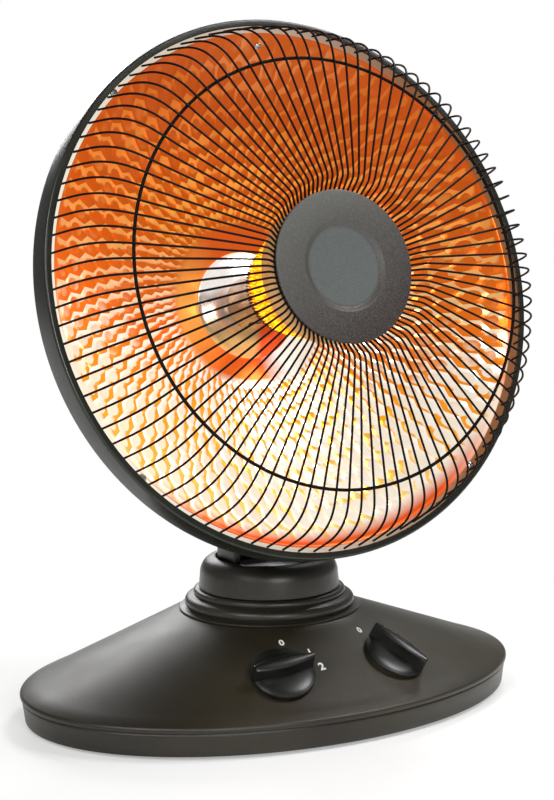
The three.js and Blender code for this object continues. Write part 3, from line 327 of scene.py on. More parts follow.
def reflector_painted_glow_and_reflections():
    """Dimpled mirror with the coil's glow and the room's reflections painted on.

    Each dimple is painted as a glowing half and a white reflecting half. Both run from orange at the top
    to white at the bottom, and turn orange again by the lower rim. The colour also glows through emission.
    """
    n = Nodes("reflector_painted_glow_and_reflections")
    n.along_dish()
    x, y, _ = n.axes()
    radius = n.distance(x, y)
    angle = n.math("ARCTAN2", y, x)
    level = n.plus(y, n.times(x, 0.16))
    level = n.plus(level, n.wander(11, 0.09))
    height = n.range(level, -0.17, 0.19)
    # Painted glow: the coil's light as the dish reflects it, yellow low on the dish and deep orange higher
    # up.
    painted_glow = n.ramp(
        height,
        (0.0, srgb(255, 214, 120)), (0.2, srgb(252, 168, 40)),
        (0.4, srgb(232, 116, 32)), (0.62, srgb(206, 92, 22)),
        (0.82, srgb(190, 82, 22)), (1.0, srgb(204, 96, 36)),
    )
    # Painted reflection of the bright room: white low on the dish, turning orange towards the top.
    pale = n.ramp(
        height,
        (0.0, srgb(255, 255, 252)), (0.34, srgb(255, 251, 242)),
        (0.44, srgb(250, 222, 180)), (0.52, srgb(240, 190, 128)),
        (0.62, srgb(236, 152, 68)), (0.84, srgb(228, 122, 34)),
        (1.0, srgb(246, 172, 108)),
    )
    # Each dimple is split into a painted glow half and a painted white half, by where its corners lie in
    # the cell, with a random shift per cell.
    around = n.attribute("dimple_around")
    out = n.attribute("dimple_out")
    tone = n.attribute("dimple_tone")
    swing = n.math("SINE", n.plus(angle, math.radians(75)))
    lean = n.times(n.times(around, swing), -0.95)
    lean = n.plus(lean, n.times(out, -0.42))
    lean = n.plus(lean, n.range(tone, 0, 1, -0.16, 0.16))
    lean = n.plus(lean, n.wander(60, 0.5))
    half = n.range(n.plus(lean, n.range(height, 0.2, 0.45, 0.0, 0.3)), 0.14, 0.28)
    # Painted shade: the white half turns tan towards its glowing side, less so high on the dish, and high
    # up it takes on the glow.
    tan = n.mix(n.range(height, 0.25, 0.5), srgb(246, 226, 196), srgb(220, 150, 82))
    deep = n.range(lean, -0.8, 0.1, 0.0, 0.75)
    shade = n.times(deep, n.range(height, 0.5, 0.7, 1.0, 0.25))
    shaded = n.mix(shade, pale, tan)
    shaded = n.mix(n.range(height, 0.62, 0.85, 0.0, 0.5), shaded, painted_glow)
    dimpled = n.mix(half, shaded, painted_glow)
    # Painted glints on the dimples nearer the centre: white low on the dish, orange higher up.
    painted_glint = n.times(n.range(radius, 0.135, 0.07), n.range(lean, 0.1, -0.5, 0.0, 0.5))
    painted_glint_colour = n.mix(n.range(height, 0.45, 0.6), srgb(255, 255, 255), srgb(255, 176, 44))
    dimpled = n.mix(painted_glint, dimpled, painted_glint_colour)
    # Painted reflections on the smooth ring round the socket: white glare at the lower right, the coil's
    # orange glow round the rest.
    smooth = n.ramp(
        n.range(angle, -math.pi, math.pi),
        (0.0, srgb(250, 176, 84)), (0.17, srgb(232, 100, 30)),
        (0.27, srgb(236, 90, 34)), (0.33, srgb(255, 250, 240)),
        (0.5, srgb(255, 240, 214)), (0.62, srgb(250, 214, 176)),
        (0.67, srgb(222, 90, 28)), (0.82, srgb(222, 92, 30)),
        (1.0, srgb(250, 176, 84)),
    )
    inside = n.range(radius, 0.054, 0.062)
    body = n.mix(inside, smooth, dimpled)
    # Painted orange glow along the rim at the bottom.
    painted_low_rim_glow = n.times(n.range(radius, 0.168, 0.176), n.range(y, -0.1, -0.15))
    body = n.mix(painted_low_rim_glow, body, srgb(226, 92, 34))
    # Painted light on the flange: pale at the left, dark brown at the right.
    flange = n.range(radius, 0.1792, 0.1796)
    edge = n.ramp(n.range(x, -0.15, 0.12), (0.0, srgb(255, 246, 228)), (1.0, srgb(150, 100, 66)))
    body = n.mix(flange, body, edge)
    # Painted shade: the metal reflects less, and browner, towards the top.
    painted_top_shade = n.ramp(height, (0.3, (0.7, 0.7, 0.7, 1)), (0.8, srgb(120, 84, 60)))
    n.set("Base Color", n.mix(1.0, body, painted_top_shade, "MULTIPLY"))
    n.set("Metallic", 0.92)
    n.set("Roughness", n.range(n.noise(400), 0.3, 0.7, 0.12, 0.2))
    # The painted colour glows through emission, a painted glow that stands in for the coil's light.
    n.set("Emission Color", body)
    n.set("Emission Strength", 0.82)
    return n.material


def coil_finish():
    """Resistance wire: yellow-hot, dark at the back of the cone and redder in dull patches."""
    n = Nodes("coil_finish")
    n.along_dish()
    forward = n.range(n.axes()[2], -0.0125, -0.0085)
    patch = n.range(n.noise(170), 0.42, 0.62)
    heat = n.times(forward, n.plus(n.times(patch, 0.45), 0.55))
    n.set("Base Color", n.ramp(heat, (0.0, srgb(44, 16, 9)), (1.0, srgb(250, 190, 40))))
    n.set("Emission Color", n.ramp(
        heat,
        (0.0, srgb(24, 4, 2)), (0.35, srgb(190, 60, 6)),
        (0.6, srgb(255, 128, 6)), (0.8, srgb(255, 196, 0)),
    ))
    n.set("Emission Strength", 1.35)
    n.set("Metallic", 0.3)
    n.set("Roughness", 0.5)
    return n.material


def ceramic_finish():
    """Tan ceramic, scorched in patches, with the coil's light painted on it as a faint glow."""
    n = Nodes("ceramic_finish")
    n.along_dish()
    neck = n.range(n.axes()[2], -0.026, -0.031)
    scorch = n.range(n.noise(55, 4.0), 0.45, 0.75)
    body = n.ramp(n.noise(20, 3.0), *varied((186, 146, 92), (214, 178, 122)))
    fired = n.mix(n.times(scorch, 0.5), body, srgb(120, 84, 44))
    n.set("Base Color", n.mix(neck, fired, srgb(196, 170, 140)))
    n.set("Metallic", n.times(neck, 0.85))
    n.set("Roughness", n.range(neck, 0, 1, 0.68, 0.16))
    # Painted glow of the coil's light on the ceramic.
    n.set("Emission Color", srgb(255, 150, 50))
    n.set("Emission Strength", 0.07)
    n.bump(n.noise(600, 3.0), 0.1)
    return n.material


def socket_painted_glow_and_glare():
    """Polished plate behind the element, with the coil's glow and a white glare painted on it."""
    n = Nodes("socket_painted_glow_and_glare")
    n.along_dish()
    x, y, _ = n.axes()
    level = n.range(n.plus(y, n.wander(60, 0.012)), -0.04, 0.04)
    # Painted reflections by height: orange glow at the bottom, grey through the middle, white glare above
    # it and peach at the very top.
    body = n.ramp(
        level,
        (0.0, srgb(226, 150, 84)), (0.22, srgb(186, 150, 96)),
        (0.42, srgb(142, 126, 114)), (0.58, srgb(168, 152, 142)),
        (0.68, srgb(255, 252, 248)), (0.9, srgb(255, 250, 244)),
        (1.0, srgb(240, 200, 170)),
    )
    # Painted orange-red glow at the lower right.
    glow = n.times(n.range(x, 0.0, 0.006), n.range(y, -0.008, -0.014))
    body = n.mix(glow, body, srgb(222, 78, 32))
    n.set("Base Color", body)
    # The painted colour glows through emission, standing in for the coil's light.
    n.set("Emission Color", body)
    n.set("Emission Strength", 0.55)
    n.set("Metallic", 0.85)
    n.set("Roughness", n.range(n.noise(90), 0.3, 0.7, 0.14, 0.24))
    n.bump(n.noise(300), 0.02)
    return n.material


def print_finish():
    """White pad print."""
    n = Nodes("print_finish")
    n.set("Base Color", n.ramp(n.noise(900), *varied((214, 212, 204), (236, 235, 230))))
    n.set("Roughness", 0.6)
    return n.material


moulding = coated("moulding", (34, 31, 24), (46, 42, 32), 0.36, 1700, 0.12, cloud=10.0)
base_moulding = coated("base_moulding", (29, 24, 14), (46, 41, 27), 0.38, 1500, 0.14, cloud=9.0)
trim = coated("trim", (13, 13, 12), (18, 18, 16), 0.3, 500, 0.015)
paint = coated("paint", (14, 13, 11), (20, 19, 15), 0.34, 900, 0.04)
band_paint = coated("band_paint", (20, 21, 14), (29, 30, 21), 0.3, 800, 0.04)
wire_paint = coated("wire_paint", (6, 4, 3), (12, 8, 6), 0.55, 900, 0.03, specular=0.1)
# The hub's first two colours are its painted shaded and lit tones.
hub_paint = hub_paint_with_painted_shade((40, 30, 30), (74, 74, 70), (76, 82, 82), (116, 114, 108), 0.5)
rubber = coated("rubber", (26, 26, 26), (34, 34, 33), 0.8, 1200, 0.08)
nylon = coated("nylon", (224, 220, 208), (236, 233, 224), 0.5, 900, 0.04)
switch_case = coated("switch_case", (36, 36, 36), (46, 46, 46), 0.55, 900, 0.06)
iron = coated("iron", (66, 64, 60), (88, 84, 78), 0.7, 500, 0.25, metallic=0.6)
zinc = metal("zinc", (168, 166, 158), (198, 196, 188), 0.3)
steel = metal("steel", (140, 140, 138), (170, 170, 168), 0.34, streak=0.9)
reflector_sheet = reflector_painted_glow_and_reflections()
coil_glow = coil_finish()
ceramic = ceramic_finish()
socket_metal = socket_painted_glow_and_glare()
print_ink = print_finish()


# ---- mesh tools

SHARP = math.radians(34)


def show(name, data):
    """A new object in the scene."""
    thing = bpy.data.objects.new(name, data)
    bpy.context.scene.collection.objects.link(thing)
    return thing


def finish_mesh(bm, name, material, replaces=(), body="head", axes=dish_axes, sharp=SHARP):
    """Turns a bmesh in mm into a piece that rides on a body."""
    bmesh.ops.remove_doubles(bm, verts=bm.verts, dist=0.004)
    bmesh.ops.recalc_face_normals(bm, faces=bm.faces)
    for face in bm.faces:
        face.smooth = True
    for edge in bm.edges:
        if len(edge.link_faces) == 2 and edge.calc_face_angle(0) > sharp:
            edge.smooth = False
    bm.transform(axes @ Matrix.Scale(MM, 4))
    mesh = bpy.data.meshes.new(name)
    bm.to_mesh(mesh)
    bm.free()
    mesh.materials.append(material)
    piece = show(name, mesh)
    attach(piece, body)
    if replaces:
        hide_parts(*replaces)


def oval(x, y, width, height, degrees):
    """Points of an oval at the angles given."""
    turns = [math.radians(a) for a in degrees]
    return [(x + width * math.cos(a), y + height * math.sin(a)) for a in turns]


def arc(x, y, radius, start, end, steps):
    """Part of a circle, in degrees, as a list of (x, y)."""
    return oval(x, y, radius, radius, [start + (end - start) * i / steps for i in range(steps + 1)])


def rounded(outline, radius, steps=4):
    """A closed outline of (x, y), or (x, y, own radius), with its corners rounded."""
    result = []
    count = len(outline)
    for i, corner in enumerate(outline):
        own = corner[2] if len(corner) > 2 else radius
        here = Vector(corner[:2])
        before = Vector(outline[i - 1][:2])
        after = Vector(outline[(i + 1) % count][:2])
        reach = min(own, (before - here).length * 0.45, (after - here).length * 0.45)
        if reach < 0.01:
            result.append(tuple(here))
            continue
        start = here + (before - here).normalized() * reach
        end = here + (after - here).normalized() * reach
        for step in range(steps + 1):
            t = step / steps
            point = start * (1 - t) ** 2 + here * 2 * t * (1 - t) + end * t ** 2
            result.append(tuple(point))
    return result


def polar(r, z, angle):
    return Vector((r * math.cos(angle), r * math.sin(angle), z))


def lathe(bm, profile, sides):
    """A closed profile of (radius, height) turned about Z."""
    rings = []
    for i in range(sides):
        angle = 2 * math.pi * i / sides
        rings.append([bm.verts.new(polar(max(r, 0.0), z, angle)) for r, z in profile])
    join_rings(bm, rings, closed=True, looped=True)


def join_rings(bm, rings, closed, looped):
    """Quads between rows of vertices. closed joins a row's ends, looped the rows' ends."""
    rows = len(rings) if looped else len(rings) - 1
    count = len(rings[0])
    columns = count if closed else count - 1
    for i in range(rows):
        here, there = rings[i], rings[(i + 1) % len(rings)]
        for j in range(columns):
            k = (j + 1) % count
            bm.faces.new((here[j], there[j], there[k], here[k]))


def stack(bm, rings):
    """Joins closed rings into a body with both its ends shut."""
    join_rings(bm, rings, closed=True, looped=False)
    bm.faces.new(rings[0])
    bm.faces.new(list(reversed(rings[-1])))


def turned(name, profile, material, replaces, body="head", axes=dish_axes, sides=96):
    bm = bmesh.new()
    lathe(bm, profile, sides)
    bmesh.ops.remove_doubles(bm, verts=bm.verts, dist=0.002)
    finish_mesh(bm, name, material, replaces, body, axes)


def tube(bm, path, radius, sides, looped=False, across=None):
    """A round wire along points. across sets the first side direction."""
    count = len(path)
    rings = []
    side = None
    for i, spot in enumerate(path):
        if looped:
            before, after = path[i - 1], path[(i + 1) % count]
        else:
            before, after = path[max(i - 1, 0)], path[min(i + 1, count - 1)]
        along = (after - before).normalized()
        if side is None:
            side = across or along.orthogonal()
        side = (side - along * side.dot(along)).normalized()
        up = along.cross(side)
        ring = []
        for k in range(sides):
            angle = 2 * math.pi * k / sides
            out = side * math.cos(angle) * radius + up * math.sin(angle) * radius
            ring.append(bm.verts.new(spot + out))
        rings.append(ring)
    if looped:
        join_rings(bm, rings, closed=True, looped=True)
    else:
        stack(bm, rings)


def smooth_path(points, steps):
    """A curve through points: Catmull-Rom between each two."""
    path = []
    for i in range(len(points) - 1):
        p0 = points[max(i - 1, 0)]
        p1, p2 = points[i], points[i + 1]
        p3 = points[min(i + 2, len(points) - 1)]
        for step in range(steps):
            t = step / steps
            path.append(0.5 * (
                2 * p1
                + (p2 - p0) * t
                + (2 * p0 - 5 * p1 + 4 * p2 - p3) * t * t
                + (3 * p1 - p0 - 3 * p2 + p3) * t ** 3
            ))
    path.append(points[-1])
    return path


def absorb(bm, part):
    """Adds the faces of a part and frees it."""
    holder = bpy.data.meshes.new("part")
    part.to_mesh(holder)
    part.free()
    bm.from_mesh(holder)
    bpy.data.meshes.remove(holder)


def prism(bm, outline, low, high, bevel=0.0):
    """An XY outline raised from one height to another, with its top edge rounded."""
    steps = 3
    levels = [(low, 0.0)]
    if bevel:
        for i in range(steps + 1):
            angle = math.pi / 2 * i / steps
            levels.append((high - bevel + bevel * math.sin(angle), bevel * (1 - math.cos(angle))))
    else:
        levels.append((high, 0.0))
    rings = []
    for z, inset in levels:
        rings.append([bm.verts.new((x, y, z)) for x, y in offset(outline, inset)])
    stack(bm, rings)


def offset(outline, inset):
    """The outline moved inwards along its corner normals. It runs counter-clockwise."""
    if not inset:
        return outline
    moved = []
    count = len(outline)
    for i, corner in enumerate(outline):
        here = Vector(corner)
        first = (here - Vector(outline[i - 1])).normalized()
        second = (Vector(outline[(i + 1) % count]) - here).normalized()
        along = first + second
        if along.length < 1e-6:
            along = second
        along.normalize()
        inward = Vector((-along.y, along.x))
        moved.append(tuple(here + inward * inset / max(along.dot(second), 0.5)))
    return moved


# ---- reflector

ROW = math.sqrt(3) / 2


def parabola(r):
    return -VERTEX_DEPTH + r * r / (4 * FOCUS)


def row_at(r):
    """The place of a radius on the plane of equal cells: rows grow evenly outwards."""
    return ROW * math.log(DIMPLE_ROW + DIMPLE_ROW_GROWTH * r) / DIMPLE_ROW_GROWTH


def radius_at(row):
    return (math.exp(row * DIMPLE_ROW_GROWTH / ROW) - DIMPLE_ROW) / DIMPLE_ROW_GROWTH


def dimple_sheet(bm):
    """Hexagonal dimples in rows that grow with the radius, as one welded sheet.

    A cell's place is (cells round, rows out) on a plane where cells are equal.
    Each cell is six wedges of small triangles, and a vertex outside the sheet's
    two edges is drawn back onto them. Every corner keeps its place in its cell.
    """
    per_turn = DIMPLES_AROUND / (2 * math.pi)
    inner = row_at(SOCKET_RADIUS - 1)
    faded = row_at(DIMPLED_FROM)
    outer = row_at(REFLECTOR_RIM)
    reach = 1 / math.sqrt(3)
    corners = [
        Vector((math.sin(math.pi / 3 * k), math.cos(math.pi / 3 * k))) * reach for k in range(6)
    ]
    # The corners' places in their cells and a random tone per cell; the reflector's painted glow and
    # reflections read them.
    around_layer = bm.loops.layers.float.new("dimple_around")
    out_layer = bm.loops.layers.float.new("dimple_out")
    tone_layer = bm.loops.layers.float.new("dimple_tone")
    draw = random.Random(11)
    welded = {}

    def depth_share(y):
        return min(max((y - faded) / 0.9, 0.0), 1.0) * min(max((outer - y) / 0.4, 0.0), 1.0)

    def vertex(x, y, centre):
        y = min(max(y, inner), outer)
        key = (round(x * 1000) % (DIMPLES_AROUND * 1000), round(y * 1000))
        if key not in welded:
            angle = x / per_turn
            radius = radius_at(y)
            away = min((Vector((x, y)) - centre).length, reach)
            dent = DIMPLE_SLOPE * radius / per_turn * (away * away - 0.25)
            z = parabola(radius) + dent * depth_share(y)
            welded[key] = bm.verts.new((radius * math.cos(angle), radius * math.sin(angle), z))
        return welded[key]

    def face(spots, a, b, centre, tone):
        places = [centre + (a * i + b * j) / DIMPLE_STEPS for i, j in spots]
        made = [vertex(place.x, place.y, centre) for place in places]
        if len(set(made)) < 3 or all(p.y <= inner for p in places) or all(p.y >= outer for p in places):
            return
        piece = bm.faces.new(made)
        for loop, place in zip(piece.loops, places):
            share = depth_share(min(place.y, outer))
            loop[around_layer] = (place.x - centre.x) / reach * share
            loop[out_layer] = (place.y - centre.y) / reach * share
            loop[tone_layer] = 0.5 + (tone - 0.5) * share

    for line in range(math.floor((inner - 1) / ROW), math.ceil((outer + 1) / ROW) + 1):
        for column in range(DIMPLES_AROUND):
            centre = Vector((column + 0.5 * (line % 2), line * ROW))
            tone = draw.random()
            for k in range(6):
                a, b = corners[k], corners[(k + 1) % 6]
                for i in range(DIMPLE_STEPS):
                    for j in range(DIMPLE_STEPS - i):
                        face([(i, j), (i + 1, j), (i, j + 1)], a, b, centre, tone)
                        if i + j < DIMPLE_STEPS - 1:
                            face([(i + 1, j), (i + 1, j + 1), (i, j + 1)], a, b, centre, tone)


def edge_loop_at(bm, radius):
    """Open edges whose two ends lie at a radius."""
    return [
        e for e in bm.edges
        if e.is_boundary and all(abs(Vector(v.co[:2]).length - radius) < 0.2 for v in e.verts)
    ]


def grow(bm, edges, stops):
    """Extrudes an open ring of edges through (radius, height) stops."""
    for radius, z in stops:
        made = bmesh.ops.extrude_edge_only(bm, edges=edges)["geom"]
        verts = [v for v in made if isinstance(v, bmesh.types.BMVert)]
        edges = [e for e in made if isinstance(e, bmesh.types.BMEdge)]
        for v in verts:
            flat = Vector(v.co[:2]).normalized() * radius
            v.co = Vector((flat.x, flat.y, z))
        edges = [e for e in edges if all(v in set(verts) for v in e.verts)]
    return edges


def reflector():
    bm = bmesh.new()
    dimple_sheet(bm)
    step = REFLECTOR_RIM + 0.7
    outside = grow(bm, edge_loop_at(bm, REFLECTOR_RIM), [
        (step, FLANGE_FRONT - 0.3),
        (step + 0.5, FLANGE_FRONT),
        (FLANGE_RADIUS, FLANGE_FRONT),
        (FLANGE_RADIUS, FLANGE_FRONT - SHEET),
        (step + 0.6, FLANGE_FRONT - SHEET),
        *[(r, parabola(r) - SHEET) for r in (REFLECTOR_RIM, 150, 120, 90, 60, REFLECTOR_HOLE)],
    ])
    inside = grow(bm, edge_loop_at(bm, SOCKET_RADIUS - 1), [
        (REFLECTOR_HOLE, parabola(REFLECTOR_HOLE)),
    ])
    bmesh.ops.bridge_loops(bm, edges=outside + inside)
    bmesh.ops.triangulate(bm, faces=[f for f in bm.faces if len(f.verts) > 4])
    finish_mesh(bm, "dimpled_reflector", reflector_sheet, ["reflector"],
                sharp=math.radians(14))


# ---- rim and shell

def rim_band():
    profile = rounded([
        (BAND_HEM, BAND_BACK, 0.3),
        (BAND_RADIUS, BAND_BACK, 1.2),
        (BAND_RADIUS, BAND_FRONT, 1.8),
        (BAND_LIP, BAND_FRONT, 0.8),
        (BAND_LIP, BAND_FRONT - 1.2, 0.3),
        (BAND_RADIUS - BAND_WALL, BAND_FRONT - 1.2, 0.5),
        (BAND_RADIUS - BAND_WALL, BAND_BACK + BAND_WALL, 0.4),
        (BAND_HEM, BAND_BACK + BAND_WALL, 0.2),
    ], 0.5, 5)
    turned("rolled_rim_band", profile, band_paint, ["rim_band"], sides=192)


def dish_shell():
    """Pressed back shell with two raised rings."""
    spots = [Vector((r, z)) for r, z in SHELL_PROFILE]
    outside = []
    for p in smooth_path(spots, 8):
        bead = sum(math.exp(-((p.x - r) / 2.2) ** 2) for r in SHELL_BEADS)
        outside.append((p.x, p.y - 1.4 * bead))
    inside = [(r - 0.5, z + 0.8) for r, z in reversed(outside)]
    profile = [
        (179.4, -3.7), (186.3, -3.7), (186.3, -4.5), (184.9, -4.7),
        *outside,
        (22.1, -96), (22.1, -95.2),
        *inside,
        (184.1, -4.6), (179.4, -4.5),
    ]
    turned("pressed_shell", profile, paint, ["dish_shell"], sides=144)


def rear_cover():
    back = REAR_COVER_BACK
    profile = rounded([
        (0, back, 0), (41, back, 4), (44, -96.3, 0.4), (42, -96.3, 0.3), (39, back + 2, 3),
        (0, back + 2, 0),
    ], 1.0, 5)
    bm = bmesh.new()
    lathe(bm, profile, 72)
    for x in (-21, -14, -7, 0, 7, 14, 21):
        half = math.sqrt(30 ** 2 - x ** 2) * 0.62
        slat = rounded([(x - 1.3, -half), (x + 1.3, -half), (x + 1.3, half), (x - 1.3, half)], 1.2)
        prism(bm, slat, back - 0.9, back + 0.6)
    finish_mesh(bm, "vented_rear_cover", moulding, ["rear_cover"])


# ---- guard and hub

def wire_guard():
    bm = bmesh.new()
    shape = smooth_path([Vector(p) for p in GUARD_PROFILE], 3)
    for k in range(WIRE_COUNT):
        angle = 2 * math.pi * (k + 0.5) / WIRE_COUNT
        path = [polar(p.x, p.y, angle) for p in shape]
        tube(bm, path, WIRE_RADIUS, 8, across=polar(0, 1, 0))
    for r, z in (MIDDLE_RING, INNER_RING):
        ring = [polar(r, z - RING_SET_BACK, 2 * math.pi * i / 160) for i in range(160)]
        tube(bm, ring, RING_WIRE_RADIUS, 10, looped=True)
    finish_mesh(bm, "welded_wire_guard", wire_paint, ["wire_guard"])


def hub():
    soft = [
        (HUB_DISH + 2.5 - i * 0.5, HUB_FRONT - HUB_DIP * (1 - math.cos(math.pi * i / 10)) / 2)
        for i in range(11)
    ]
    profile = [
        (0, HUB_FRONT - 2.4), (HUB_RADIUS - 0.4, HUB_FRONT - 2.4),
        *arc(HUB_RADIUS - 1.3, HUB_FRONT - 1.2, 1.2, -50, 90, 6),
        *soft,
        (0, HUB_FRONT - HUB_DIP),
    ]
    turned("pressed_hub_disc", profile, hub_paint, ["hub_disc"], sides=128)
    plate = rounded([(2.9, 53.2), (50, 53.2), (50, 54.7), (2.9, 54.7)], 0.5)
    turned("hub_backing_plate", plate, paint, ["hub_plate"], sides=72)


# ---- element

def coil_radius(z):
    return COIL_START_RADIUS + COIL_CONE * (z - COIL_START)


def heating_coil():
    """One curled wire wound round the cone, with a straight tail at each end."""
    bm = bmesh.new()
    length = COIL_TURNS * 2 * math.pi * coil_radius((COIL_START + COIL_FINISH) / 2)
    curls = round(length / CURL_PITCH)
    path = []
    total = curls * CURL_STEPS
    for i in range(total + 1):
        share = i / total
        angle = share * COIL_TURNS * 2 * math.pi
        curl = share * curls * 2 * math.pi
        z = COIL_START + (COIL_FINISH - COIL_START) * share
        r = coil_radius(z) + CURL_RADIUS * math.cos(curl)
        path.append(polar(r, z + CURL_RADIUS * math.sin(curl), angle))
    tube(bm, path, CURL_WIRE, 5)
    for spot, reach in ((path[0], -8.0), (path[-1], 8.0)):
        tube(bm, [spot, spot + Vector((0, 0, reach))], CURL_WIRE * 1.4, 8)
    finish_mesh(bm, "curled_heating_coil", coil_glow, ["heating_coil"],
                sharp=math.radians(80))


def element_core():
    """Ceramic cone with a groove under each turn, a neck and a stepped front flange."""
    grooves = []
    steps = COIL_TURNS * 8
    for i in range(steps + 1):
        z = COIL_START - 3 + (COIL_FINISH - COIL_START + 5) * i / steps
        wave = 0.7 * math.cos(2 * math.pi * i / 8)
        grooves.append((coil_radius(z) - CORE_BELOW_COIL - 0.7 + wave, z))
    profile = [
        (0, -69.7), (19.5, -69.7), (19.5, -47.5), (20.4, -45.5),
        (coil_radius(-26) - CORE_BELOW_COIL, -26),
        *grooves,
        (38.6, 32.2), (46.6, 32.2), (47.6, 33.2),
        (49.4, 42), (48.6, 46.4), (45.2, CORE_FRONT), (38, CORE_FRONT), (36.4, CORE_FRONT - 1.4),
        (18, COIL_START), (0, COIL_START),
    ]
    bm = bmesh.new()
    lathe(bm, profile, 96)
    spot = polar(28.4, 0, -0.13)
    lathe_at(bm, [(0, -48), (4.4, -48), (4.4, -28.6), (3.6, -28.4), (0, -28.4)], spot, 20)
    finish_mesh(bm, "grooved_ceramic_core", ceramic, ["element_core"])


def lathe_at(bm, profile, spot, sides):
    """A turned boss whose axis stands at a spot."""
    before = set(bm.verts)
    lathe(bm, profile, sides)
    bmesh.ops.translate(bm, verts=[v for v in bm.verts if v not in before], vec=spot)


def element_socket():
    rim = parabola(SOCKET_RADIUS) + 0.45
    profile = [
        (0, -104), *arc(20.2, -102.5, 1.5, -90, 0, 4), (21.7, rim),
        *arc(SOCKET_RADIUS - 0.9, rim + 0.9, 0.9, -90, 60, 5),
        (35, rim + 2.5), (30, -72.6), (26.5, -71.4), (22.5, -70.4), (19.5, -70.0), (0, -70.0),
    ]
    turned("polished_socket", profile, socket_metal, ["element_socket"], sides=96)
    lead = smooth_path([
        polar(24.2, -69.6, math.radians(236)), polar(22.2, -60, math.radians(238)),
        polar(21.6, -50, math.radians(231)), polar(22.8, -41, math.radians(236)),
        polar(24.0, -33, math.radians(232)),
    ], 5)
    bm = bmesh.new()
    tube(bm, lead, 0.45, 8)
    finish_mesh(bm, "element_lead", wire_paint)


# ---- screws

def screw_head(bm, radius, height):
    """A pan head above z = 0 with a cross-shaped recess."""
    dome = [(0, 0), (radius, 0), *oval(0, height * 0.25, radius, height * 0.75, (8, 25, 42, 58))]
    half = radius * 0.5
    slot = radius * 0.16
    low = height * 0.45
    top = height * 0.93
    lathe(bm, [*dome, (half, top), (half * 0.7, low), (0, low)], 32)
    for turn in range(4):
        angle = math.radians(45 + 90 * turn)
        c, s = math.cos(angle), math.sin(angle)
        wedge = []
        for x, y in ((slot * 1.3, 0), (half * 0.98, -half * 0.52), (half * 1.02, half * 0.52)):
            wedge.append((x * c - y * s, x * s + y * c))
        prism(bm, wedge, low - 0.05, top)


def screw_piece(name, replaces, place, direction, radius, height, shank):
    """A screw of the head, its own head towards direction, with a plain shank behind."""
    bm = bmesh.new()
    screw_head(bm, radius, height)
    shank_radius, shank_length = shank
    lathe(bm, [(0, -shank_length), (shank_radius, -shank_length), (shank_radius, 0.05), (0, 0.05)], 16)
    turn = Vector((0, 0, 1)).rotation_difference(Vector(direction)).to_matrix().to_4x4()
    bm.transform(Matrix.Translation(place) @ turn)
    finish_mesh(bm, name, zinc, [replaces])


def dish_screws():
    for i in range(4):
        angle = math.radians(FLANGE_SCREW_TURN + 90 * i)
        spot = polar(FLANGE_SCREW_RADIUS, FLANGE_FRONT + 0.1, angle)
        screw_piece(f"flange_screw_{i + 1}", f"rim_screw_{i + 1}", spot, (0, 0, 1), 2.9, 1.7, (1.2, 3.8))
    radius = 172
    slope = math.atan(radius / (2 * FOCUS))
    normal = Vector((0, -math.sin(slope), math.cos(slope)))
    spot = Vector((0, radius, parabola(radius))) + normal * 0.6
    screw_piece("upper_reflector_screw", "reflector_screw", spot, normal, 2.6, 1.5, (0.95, 2.8))
    backward = (0, 0, -1)
    for i, y in enumerate((-75, -104)):
        screw_piece(f"arm_bolt_{i + 1}", f"arm_screw_{i + 1}", (0, y, -108.3), backward, 4, 2.4, (2, 30.5))
    for i, x in enumerate((-34, 34)):
        screw_piece(f"rear_cover_screw_{i + 1}", f"rear_screw_{i + 1}", (x, 0, -114.6), backward,
                    3.6, 2, (2, 21.5))


def band_plates():
    """A riveted plate at the top of the rim and another beside it."""
    for name, node, angle in (
        ("top_tab", "band_plate_top", 90),
        ("side_strip", "band_plate_side", FLANGE_SCREW_TURN),
    ):
        bm = bmesh.new()
        outline = rounded([(-10, -4.5), (10, -4.5), (10, 4.5), (-10, 4.5)], 1.2)
        prism(bm, outline, 0, 0.8, bevel=0.3)
        for x in (-6.5, 6.5):
            rivet = [(0, 0.7), (1.5, 0.7), (1.3, 1.0), (0.7, 1.15), (0, 1.2)]
            lathe_at(bm, rivet, Vector((x, 0, 0)), 16)
        turn = math.radians(angle)
        out = polar(1, 0, turn)
        around = Vector((-math.sin(turn), math.cos(turn), 0))
        basis = Matrix((around, (0, 0, -1), out)).transposed().to_4x4()
        place = Matrix.Translation(out * (BAND_RADIUS + 0.3) + Vector((0, 0, -9)))
        bm.transform(place @ basis)
        finish_mesh(bm, name, band_paint, [node])


# ---- base

def slope_section(share):
    """Half width, half depth and height of the slope from the ridge to the neck."""
    foot = (BASE_HALF_WIDTH - RIDGE_ROUND, BASE_HALF_DEPTH - RIDGE_ROUND,
            RIDGE_HEIGHT + RIDGE_ROUND * 0.7)
    top = (NECK_RADIUS, NECK_RADIUS, NECK_HEIGHT)
    return [a + (b - a) * share for a, b in zip(foot, top)]


def slope_point(angle, share):
    a, b, z = slope_section(share)
    return Vector((a * math.cos(angle), b * math.sin(angle), z))


def slope_at(x, y):
    """The slope's point above (x, y)."""
    low, high = 0.0, 1.0
    for _ in range(40):
        middle = (low + high) / 2
        a, b = slope_section(middle)[:2]
        if (x / a) ** 2 + (y / b) ** 2 > 1:
            high = middle
        else:
            low = middle
    return Vector((x, y, slope_section(low)[2]))


def slope_normal(x, y):
    step = 0.5
    along_x = slope_at(x + step, y) - slope_at(x - step, y)
    along_y = slope_at(x, y + step) - slope_at(x, y - step)
    return along_x.cross(along_y).normalized()


def knob_axes(side):
    """The knob's seat in mm: Z square to the slope, X to the viewer's right."""
    angle = math.pi + KNOB_TURN if side < 0 else -KNOB_TURN
    place = slope_point(angle, KNOB_RISE)
    step = 1e-3
    around = slope_point(angle + step, KNOB_RISE) - slope_point(angle - step, KNOB_RISE)
    upward = slope_point(angle, KNOB_RISE + step) - slope_point(angle, KNOB_RISE - step)
    normal = around.cross(upward).normalized()
    turn = Vector((0, 0, 1)).rotation_difference(normal).to_matrix().to_4x4()
    return Matrix.Translation(place) @ turn


